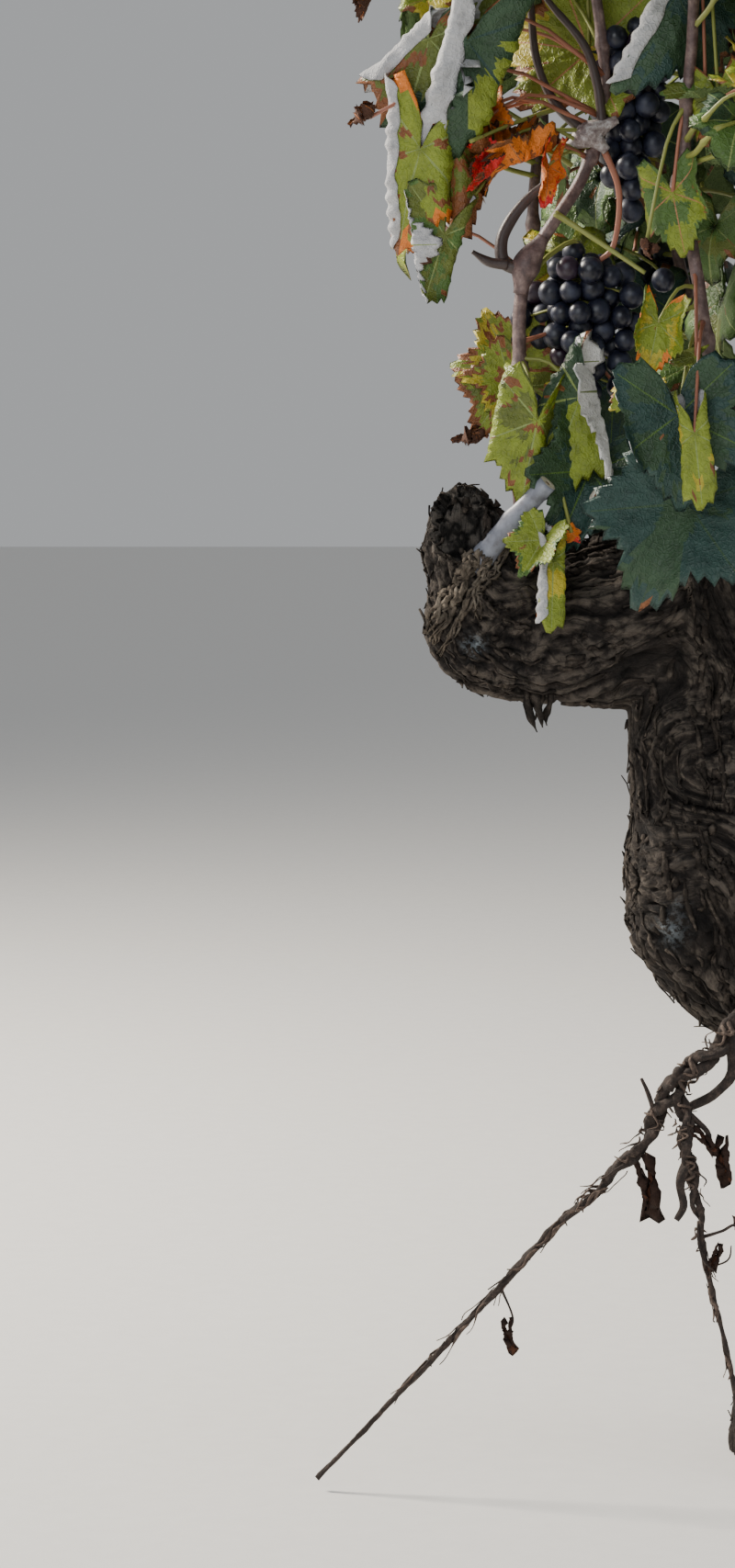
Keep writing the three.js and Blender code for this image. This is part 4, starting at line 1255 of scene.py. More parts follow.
def blade_kinds(pattern, leaf):
    """Which finish each face of a blade has: its tint, patches of a second one, dry edges, spots, veins."""
    kinds = []
    for middles, out, under, vein in zip(pattern.middles, pattern.out, pattern.under, pattern.on_vein):
        spot = np.column_stack([middles, np.full(len(middles), leaf["phase"])])
        patch = noise(spot * leaf.get("patch_scale", 4.0), 31)
        speck = noise(spot * 17, 32)
        edge = noise(spot * 7, 33)
        # A lean to one side puts the second, bright tint there: painted sunlight on part of the blade.
        sunlit_lean = middles @ np.array(leaf.get("patch_way", (0, 0)))
        mottle = 0.22 * (noise(spot * 26, 34) - 0.5)
        kind = np.where(patch + mottle + sunlit_lean < leaf["patch_share"], leaf["second"], leaf["tint"])
        kind = np.where(under, leaf["under"], kind)
        kind = np.where(vein & (out < 0.92), leaf["vein"], kind)
        dried = (edge * 0.55 + out ** 3 * 0.55 > 1 - leaf["dry_edge"]) & (out > 0.5)
        kind = np.where(dried, leaf["edge"], kind)
        kind = np.where(speck > 1 - leaf["spots"], RUST, kind)
        kinds.append(kind)
    return kinds


def leaf_shape(pattern, leaf):
    return blade_points(pattern, leaf), pattern.faces, blade_kinds(pattern, leaf)


def stalk_shape(root, end, lift, radius=0.0011):
    """A leaf's stalk: thicker at its foot, and bowed."""
    root, end = np.asarray(root, float), np.asarray(end, float)
    middle = (root + end) / 2 + np.array([0, 0, lift * np.linalg.norm(end - root)])
    places = curve([root, middle, end], 7)
    return tube(places, radius * np.array([1.9, 1.25, 1.05, 1, 0.95, 0.95, 1.1]), 5)


# Spray by spray the leaves have tints: upper side, patches, underside, veins, dry edge, how dry, how spotted.
SPRAY_TINTS = [
    (SHADE_DARK, SHADE_BLUE, UNDER_GREEN, MIDDLE, RUST, 0.05, 0.10),
    (SHADE_DARK, MIDDLE, UNDER_GREEN, VEIN, RUST, 0.08, 0.12),
    (SHADE_BLUE, SHADE_DARK, UNDER_GREEN, MIDDLE, RUST, 0.04, 0.08),
    (MIDDLE, SHADE_DARK, UNDER_GREEN, VEIN, RUST, 0.10, 0.12),
    (MIDDLE, OLIVE, UNDER_GREEN, VEIN, RUST, 0.16, 0.16),
    (OLIVE, MIDDLE, UNDER_GREEN, VEIN, RUST, 0.20, 0.18),
    (SUNLIT_BRIGHT, OLIVE, UNDER_GREEN, VEIN, RUST, 0.20, 0.16),
    (SUNLIT_BRIGHT, YELLOW, UNDER_GREEN, VEIN_RED, RUST, 0.28, 0.20),
    (YELLOW, SUNLIT_BRIGHT, UNDER_GREEN, VEIN_RED, RUST, 0.34, 0.26),
    (ORANGE, RED, RUST, VEIN_RED, DRY, 0.40, 0.26),
    (DRY, RUST, DRY, DRY, DRY, 0.30, 0.10),
]
# Masses in the open lean to the bright tints (painted sunlight), shaded masses to the dark ones (painted
# shade).
TINT_WEIGHTS = {
    "open": [2, 3, 1, 5, 5, 5, 6, 4, 2.2, 0.9, 0.9],
    "shaded": [6, 6, 5, 7, 4, 3, 2.2, 1.2, 0.8, 0.25, 0.4],
}


def spray_tint(random, light):
    weights = np.cumsum(TINT_WEIGHTS[light])
    return SPRAY_TINTS[int(np.searchsorted(weights, random() * weights[-1]))]


def tinted(leaf, tint, random):
    names = ("tint", "second", "under", "vein", "edge", "dry_edge", "spots")
    leaf.update(zip(names, tint))
    leaf["patch_share"] = 0.30 + 0.25 * random()
    leaf["phase"] = 40 * random()
    return leaf


def hanging_bends(random):
    """How a living blade bends: its halves lift a little, its tip and side lobes hang."""
    return [
        (0, 0.05 + 0.15 * random(), 15 + 60 * random(), 0.45, -1),
        (95, 0.22, 10 + 45 * random(), 0.25, -1),
        (-95, 0.22, 10 + 45 * random(), 0.25, -1),
        (90, 0.0, 6 + 24 * random(), 0.10, 1),
        (-90, 0.0, 6 + 24 * random(), 0.10, 1),
    ]


def withered_bends(random):
    """A dried blade rolls up."""
    return [
        (20, -0.05, 90 + 80 * random(), 0.16, 1),
        (115, 0.05, 100 + 70 * random(), 0.12, 1),
        (-110, 0.06, 90 + 90 * random(), 0.12, 1),
    ]


# The bunches
# Bunches of blue-black wine grapes hang from the canes. Each berry is a ball 14 mm across, dark and a little
# waxy, on its own short green stalk, pressed against its neighbours.

BUNCH_LENGTH = 0.108
BERRY_RADIUS = 0.0073
BERRY_ROWS = 10
BUNCH_PLACES = [0.06, 0.24]
SHOWN_BUNCHES = {  # share of the stem, and for the body and the wings of the bunch: its top and its size
    "left": [
        (0.42, [((-0.145, -0.014, 0.868), 0.98)]),
        (0.16, [((-0.174, -0.016, 0.738), 0.86), ((-0.150, -0.012, 0.726), 0.62),
                ((-0.199, 0.008, 0.716), 0.60)]),
    ],
}
STRAY_BERRY = ((722, 305), -0.030)


def bunch_radius(share):
    share = np.asarray(share, float)
    return (0.028 + (0.010 - 0.028) * share ** 1.5) * np.minimum(1, 0.45 + share * 4)


def ball(cuts):
    """A ball of even triangles: a twenty-sided solid with each face cut in four, once or twice."""
    g = (1 + 5 ** 0.5) / 2
    points = [(-1, g, 0), (1, g, 0), (-1, -g, 0), (1, -g, 0), (0, -1, g), (0, 1, g), (0, -1, -g),
              (0, 1, -g), (g, 0, -1), (g, 0, 1), (-g, 0, -1), (-g, 0, 1)]
    faces = [(0, 11, 5), (0, 5, 1), (0, 1, 7), (0, 7, 10), (0, 10, 11), (1, 5, 9), (5, 11, 4), (11, 10, 2),
             (10, 7, 6), (7, 1, 8), (3, 9, 4), (3, 4, 2), (3, 2, 6), (3, 6, 8), (3, 8, 9), (4, 9, 5),
             (2, 4, 11), (6, 2, 10), (8, 6, 7), (9, 8, 1)]
    points = [unit(p) for p in points]
    for _ in range(cuts):
        halves, finer = {}, []

        def half(a, b):
            key = (min(a, b), max(a, b))
            if key not in halves:
                halves[key] = len(points)
                points.append(unit(points[a] + points[b]))
            return halves[key]
        for a, b, c in faces:
            ab, bc, ca = half(a, b), half(b, c), half(c, a)
            finer += [(a, ab, ca), (b, bc, ab), (c, ca, bc), (ab, bc, ca)]
        faces = finer
    return np.array(points), np.array(faces)


BALLS = {cuts: ball(cuts) for cuts in (1, 2)}


def bunch_centres(parts, seed):
    """Where the berries lie: rings of them round each axis, pushed apart until none is inside another."""
    random = seeded(seed)
    centres, axis = [], []
    for top, size in parts:
        rows = max(4, round(BERRY_ROWS * size))
        for row in range(rows):
            share = row / (rows - 1)
            ring = max(0.0, float(bunch_radius(share)) * size * 1.1 - BERRY_RADIUS)
            count = max(1, int(2 * math.pi * ring / (BERRY_RADIUS * 2.05)))
            start = 2 * math.pi * random()
            for k in range(count):
                angle = start + 2 * math.pi * k / count
                out = ring * (0.74 + 0.44 * random())
                drop = BUNCH_LENGTH * size * share * 0.93 + 0.006 + 0.009 * (random() - 0.5)
                centres.append(np.array(top) + [out * math.cos(angle), out * math.sin(angle), -drop])
                axis.append(top)
    centres, axis = np.array(centres), np.array(axis, float)
    for _ in range(60):
        apart = centres[:, None] - centres[None]
        far = np.linalg.norm(apart, axis=2) + np.eye(len(centres))
        push = np.maximum(0, 2 * BERRY_RADIUS * 0.97 - far)[..., None] * apart / far[..., None]
        centres = centres + 0.45 * push.sum(axis=1)
        centres += (axis - centres) * [0.012, 0.012, 0]
        axis[:, 2] = centres[:, 2]
    return centres


def berry_shapes(centres, cuts, seed):
    random = seeded(seed)
    points, faces = BALLS[cuts]
    shapes = []
    for centre in centres:
        radius = BERRY_RADIUS * (0.88 + 0.20 * random())
        ripe = random()
        kind = 0 if ripe > 0.12 else 1 if ripe > 0.02 else 2
        shapes.append(colored((centre + points * [radius, radius, radius * 1.04], [faces]), kind))
    return shapes


def bunch_stalks(root, top, size, centres):
    """The bunch's own stalk with a short side stalk to each berry."""
    root, top = np.array(root, float), np.array(top, float)
    foot = top - np.array([0, 0, BUNCH_LENGTH * size * 0.86])
    main = curve([root, (root + top) / 2 + np.array([0, 0, 0.006]), top, (top + foot) / 2, foot], 15)
    shapes = [tube(main, np.linspace(0.0020, 0.0010, 15), 6)]
    for centre in centres:
        start = np.array([top[0], top[1], min(top[2], centre[2] + 0.007)])
        bow = (start + centre) / 2 + [0, 0, 0.0015]
        shapes.append(tube([start, bow, centre], [0.0009, 0.0008, 0.0008], 4))
    return shapes


def berry_finish(name, skin, bloom, share):
    """Dark skin under a pale bloom that lies in patches and dulls it."""
    finish = Finish(name, skin, 0.35)
    patches = finish.noise(95, 4, 0.65)
    powder = finish.ramp(patches, [(0.42, 0), (0.72, 1)])
    finish.give(finish.ramp(patches, [(0.42, 0.30), (0.72, 0.62)]), finish.shader.inputs["Roughness"])
    return finish.done(finish.mix(finish.times(powder, share), skin, bloom))


berry_finishes = [
    berry_finish("grape_blue_black", (0.006, 0.0065, 0.015), (0.048, 0.058, 0.100), 0.7),
    berry_finish("grape_purple", (0.020, 0.008, 0.018), (0.065, 0.055, 0.090), 0.6),
    berry_finish("grape_unripe", (0.045, 0.026, 0.024), (0.090, 0.075, 0.075), 0.4),
]

# The masses of leaves
# Each mass grows from one stem and keeps to its own space. Its leaves stand on stalks from the stem's nodes
# and from short side shoots, and its bunches hang near its foot.

STEM_STEPS = 12
SPACE_MARGIN = 0.0016
LIMB_MARGIN = 0.003
FIRST_SEED = 6
FILL_SHOOTS = 34
TRIES = 12
LEAF_WIDTH = 0.106
SWELLING_ROOM = 0.012
# The side shoots of a node: how far above it in internodes, turn in degrees, forwards or back, spread of the
# bearing, length of the stalk, width of the leaf, rise, and the share of the stem that they start from.
SIDE_SHOOTS = [
    (0, 68, 0, 1.3, 0.62, 1, 0.35, 0),
    (0.2, -34, 0, 2.2, 0.8, 0.78, 0.1, 0),
    (0.4, 0, 1, 3.4, 0.6, 0.7, 0.3, 0.12),
    (0.6, 100, 0, 2.4, 1.05, 0.8, 0, 0),
]
STEEPEST_TURN = math.radians(84)
SHOOT_STEP = 0.016
UP = np.array([0.0, 0.0, 1.0])
# Windows of the photograph, in its pixels (left, top, right, bottom), where it shows the sky, the bunches and
# the bare cane: nothing that the rule grows stands in them nearer than a depth.
WINDOWS = [
    ((-200, -400, 420, 700), 9.0),
    ((400, 330, 512, 700), 9.0),
    ((480, 215, 562, 335), 9.0),
    ((400, -50, 640, 240), -0.020),
    ((600, 20, 730, 235), 0.010),
    ((530, 200, 665, 420), 0.010),
    ((640, 240, 745, 415), 0.000),
    ((440, 480, 660, 760), 9.0),
    ((660, 190, 790, 450), -0.060),
]


stem_lines = [curve(stem, STEM_STEPS + 1) for stem in STEMS]
limb_lines = [(curve(limb["path"], 25), max(limb["radii"]) + SWELLING_ROOM) for limb in LIMBS]
limb_lines += [(curve(cane, 6), CANE_RADIUS + 0.0012) for cane in CANES]
limb_lines += [(np.array(path), SPUR_RADIUS) for path in SPURS.values()]


def distances(places, line):
    """How far each place is from a line of straight parts."""
    start, step = line[:-1], np.diff(line, axis=0)
    away = places[:, None] - start[None]
    share = np.clip((away * step).sum(axis=2) / (step * step).sum(axis=1), 0, 1)
    return np.linalg.norm(away - share[..., None] * step, axis=2).min(axis=1)


def crown_reach(height):
    low = smooth((height - 0.560) / 0.150)
    high = smooth((height - 1.040) / (CROWN["top"] - 1.040))
    return (0.7 + 0.3 * low) * (1 + (0.42 - 1) * high)


def has_room(index, places):
    """Whether places lie in the crown, nearest to their own stem, and clear of the limbs."""
    wide = (places[:, 0] - CROWN["x"]) / CROWN["half_width"]
    deep = (places[:, 1] - CROWN["y"]) / CROWN["half_depth"]
    height = places[:, 2]
    if (height < CROWN["foot"]).any() or (height > CROWN["top"]).any():
        return False
    if (np.hypot(wide, deep) > crown_reach(height)).any():
        return False
    own = distances(places, stem_lines[index]) + SPACE_MARGIN
    if any((distances(places, line) < own).any() for other, line in enumerate(stem_lines) if other != index):
        return False
    return not any((distances(places, line) < radius + LIMB_MARGIN).any() for line, radius in limb_lines)


def keeps_windows(places):
    column, row = pixels(places)
    for (left, top, right, bottom), depth in WINDOWS:
        inside = (column > left) & (column < right) & (row > top) & (row < bottom)
        if (inside & (places[:, 1] < depth)).any():
            return False
    return True


def on_stem(index, share):
    place = min(share, 0.99) * STEM_STEPS
    first = int(place)
    line = stem_lines[index]
    return line[first] + (line[first + 1] - line[first]) * (place - first)


def hung(stalk, outwards, width, droop, roll):
    """A blade that hangs from the end of its stalk, its tip down and its upper side turned out and up."""
    tip = unit(outwards * math.cos(droop) - UP * math.sin(droop))
    face = outwards * math.sin(droop) + UP * math.cos(droop)
    face = unit(face * math.cos(roll) + np.cross(tip, face) * math.sin(roll))
    return {"stalk": stalk, "tip": tip, "face": face, "width": width, "pucker": 1.0}


class Mass:
    """What has grown from one stem so far."""

    def __init__(self, index):
        self.index = index
        self.random = seeded(FIRST_SEED + 20 * index)
        self.look = seeded(900 + index)
        self.leaves, self.twigs, self.berries, self.trees = [], [], [], []
        # A mass's light picks its tints: painted sunlight for the open masses, painted shade for the rest.
        self.light = "open" if MASSES[index] in ("left", "back_left", "front_left") else "shaded"

    def keep(self, points, faces):
        tree = BVHTree.FromPolygons(points.tolist(), faces)
        self.trees.append((points.min(axis=0), points.max(axis=0), tree))

    def free(self, points, faces):
        low, high = points.min(axis=0), points.max(axis=0)
        near = [tree for lo, hi, tree in self.trees if (lo < high).all() and (hi > low).all()]
        if not near:
            return True
        own = BVHTree.FromPolygons(points.tolist(), faces)
        return not any(own.overlap(tree) for tree in near)

    def add_leaf(self, leaf, root, pattern, stalk_kind, lift=0.12):
        self.leaves.append(leaf_shape(pattern, leaf))
        self.keep(blade_points(COARSE, leaf), COARSE.proxy)
        self.twigs.append(colored(stalk_shape(root, leaf["stalk"], lift), stalk_kind))

    def try_leaf(self, root, bearing, spread, reach, width, rise, tint, tries=TRIES):
        """A few tries at a leaf near a bearing, each a little smaller and further round."""
        random = self.random
        for attempt in range(tries):
            angle = bearing + (random() - 0.5) * spread * (1 + attempt * 0.25)
            lift = rise + (random() - 0.5) * 0.8
            out = np.array([math.cos(angle), math.sin(angle), 0.0])
            far = reach * (0.7 + 0.5 * random())
            stalk = root + out * far * math.cos(lift) + UP * far * math.sin(lift)
            droop = min(math.radians(28 + 52 * random()), STEEPEST_TURN - lift)
            leaf = hung(stalk, out, width * (1 - 0.03 * attempt), droop, (random() - 0.5) * 0.9)
            leaf["bends"] = withered_bends(self.look) if tint[0] == DRY else hanging_bends(self.look)
            leaf["wave"] = 0.03 if tint[0] in (DRY, ORANGE) else 0.006 + 0.012 * self.look()
            tinted(leaf, tint, self.look)
            points = blade_points(COARSE, leaf)
            if has_room(self.index, points) and keeps_windows(points) and self.free(points, COARSE.proxy):
                kind = RED_KIND if self.look() < 0.35 else GREEN_KIND
                self.add_leaf(leaf, root, MEDIUM, kind)
                return leaf
        return None


def bearing_of(place):
    return math.atan2(place[1] - CROWN["y"], place[0] - CROWN["x"])


def bunch_rings(top, size, swell):
    """Places round the outside of a bunch."""
    heights = np.linspace(0, 1, 7)
    turns = np.arange(4) * math.pi / 2
    out = [np.array([math.cos(turn), math.sin(turn), 0]) for turn in turns]
    top = np.array(top)
    return np.array([top + way * bunch_radius(share) * size * swell - UP * BUNCH_LENGTH * size * share
                     for share in heights for way in out])


def grow_bunches(mass):
    """The shown bunches where the photograph has them, and elsewhere two near each stem's foot."""
    index, random = mass.index, mass.random
    shown = MASSES[index] in SHOWN_BUNCHES
    made = list(SHOWN_BUNCHES.get(MASSES[index], []))
    for share in [] if shown else BUNCH_PLACES:
        root = on_stem(index, share)
        for attempt in range(TRIES):
            angle = bearing_of(root) + (random() - 0.5) * (0.6 + attempt * 0.45)
            size = 0.82 + 0.2 * random()
            far = 0.030 + 0.014 * random()
            top = root + np.array([far * math.cos(angle), far * math.sin(angle), -0.006])
            rings = bunch_rings(top, size, 1.17)
            if has_room(index, rings):
                if keeps_windows(rings):
                    made.append((share, [(top, size)]))
                break
    for number, (share, parts) in enumerate(made):
        centres = bunch_centres(parts, 300 + 10 * index + number)
        mass.berries += berry_shapes(centres, 2 if shown else 1, 500 + 10 * index + number)
        main_top, main_size = parts[0]
        for shape in bunch_stalks(on_stem(index, share), main_top, main_size, centres):
            mass.twigs.append(colored(shape, GREEN_KIND))
        for top, size in parts:
            heights = np.linspace(0, 1, 7)
            axis = np.array(top) - UP * (BUNCH_LENGTH * size * heights)[:, None]
            points, faces = tube(axis, bunch_radius(heights) * size * 1.12, 8)
            mass.keep(points, [face for group in faces for face in group.tolist()])


def grow_leaves(mass):
    """The source's rule: each node bears its own leaf and side shoots, here with leaves along them."""
    index, random, look = mass.index, mass.random, mass.look
    line = curve(STEMS[index], 200)
    length = np.linalg.norm(np.diff(line, axis=0), axis=1).sum()
    nodes = int(length // INTERNODE)
    for i in range(nodes + 1):
        share = i / nodes
        size = LEAF_WIDTH * (1 - 0.45 * smooth(max(0, share - 0.55) / 0.45)) * (0.88 + 0.24 * random())
        tint = spray_tint(look, mass.light)
        for above, degrees, back, spread, reach, part, rise, first in SIDE_SHOOTS:
            root = on_stem(index, 0.01 + 0.93 * share + above * INTERNODE / length)
            turn = math.radians(degrees) * (1 if i % 2 else -1)
            bearing = bearing_of(root) + turn + back * math.pi
            if share < first:
                continue
            own = tint if look() < 0.7 else spray_tint(look, mass.light)
            mass.try_leaf(root, bearing, spread, size * reach, size * part, rise, own)
            for turned in (0, 1.5, -1.5):
                side_shoot(mass, root, bearing + turned + (look() - 0.5) * 1.2, size * 0.66, own)
    for _ in range(FILL_SHOOTS):
        root = on_stem(index, look())
        side_shoot(mass, root, 2 * math.pi * look(), LEAF_WIDTH * 0.62, spray_tint(look, mass.light))


def side_shoot(mass, root, bearing, width, tint):
    """A short green shoot with smaller leaves on alternate sides, kept only where its leaves find room."""
    look = mass.look
    way = unit(np.array([math.cos(bearing), math.sin(bearing), 0.5 * look()]))
    places = [root]
    for _ in range(6):
        way = unit(way + np.array([look() - 0.5, look() - 0.5, look() - 0.6]) * 0.35)
        places.append(places[-1] + way * SHOOT_STEP)
    line = np.array(places)
    if not has_room(mass.index, line[1:]) or not keeps_windows(line):
        return
    last = 0
    for k in (2, 4, 6):
        turned = bearing + (1.1 if k % 4 else -1.1)
        if mass.try_leaf(line[k], turned, 1.6, width * 0.5, width * (1.1 - 0.07 * k), 0.2, tint, 5):
            last = k
    if last:
        twig = curve(line[:last + 1], 3 * last + 1)
        mass.twigs.append(colored(noded(twig, 0.0019, 0.0011, 0.032, 71, 6), GREEN_KIND))


def grow_mass(index):
    mass = Mass(index)
    stem = np.vstack([curve(CANES[index], 41)[:-1], curve(STEMS[index], 151)])
    mass.twigs.append(colored(noded(stem, CANE_RADIUS * 0.95, 0.0022, INTERNODE, 80 + index), CANE_KIND))
    grow_bunches(mass)
    if index == 0:
        grow_shown_twigs(mass)
    for spec in SHOWN_LEAVES.get(MASSES[index], []):
        grow_shown_leaf(mass, spec)
    grow_leaves(mass)
    name = MASSES[index]
    nodes = [f"foliage_{name}"]
    add_piece(f"leaves_{name}", mass.leaves, leaf_finishes, nodes)
    add_piece(f"twigs_{name}", mass.twigs, twig_finishes, [f"cane_{name}", *nodes])
    if mass.berries:
        add_piece(f"berries_{name}", mass.berries, berry_finishes, nodes)


# The leaves that show
# On the open side single leaves stand out, each with its own turn, folds and tint. They are placed by the
# pixels of the photograph where the stalk meets the blade and where the tip ends, and grow from the stem.
# Their dark and blue-green tints are partly painted shade, their bright ones partly painted sunlight.


def shown(at, tip, depths, face, bends, look, **more):
    """What shows of one leaf: the pixels where its stalk ends and where its tip is, the depths of both, the
    way its upper side looks, its bends (way round from the tip, where, how far it turns, how sharply, up or
    down) and its tints. More: root, cane or foot says where its stalk starts (share of the stem, share of the
    cane below it, or a pixel with its depth), edges are strips of the downy side along a fold (way round,
    from, to), and wave and the patches stand for the leaf's own, save that patches leaning to one side lay
    the bright tint there as painted sunlight."""
    return {"at": at, "tip": tip, "depths": depths, "face": face, "bends": bends, "look": look, **more}


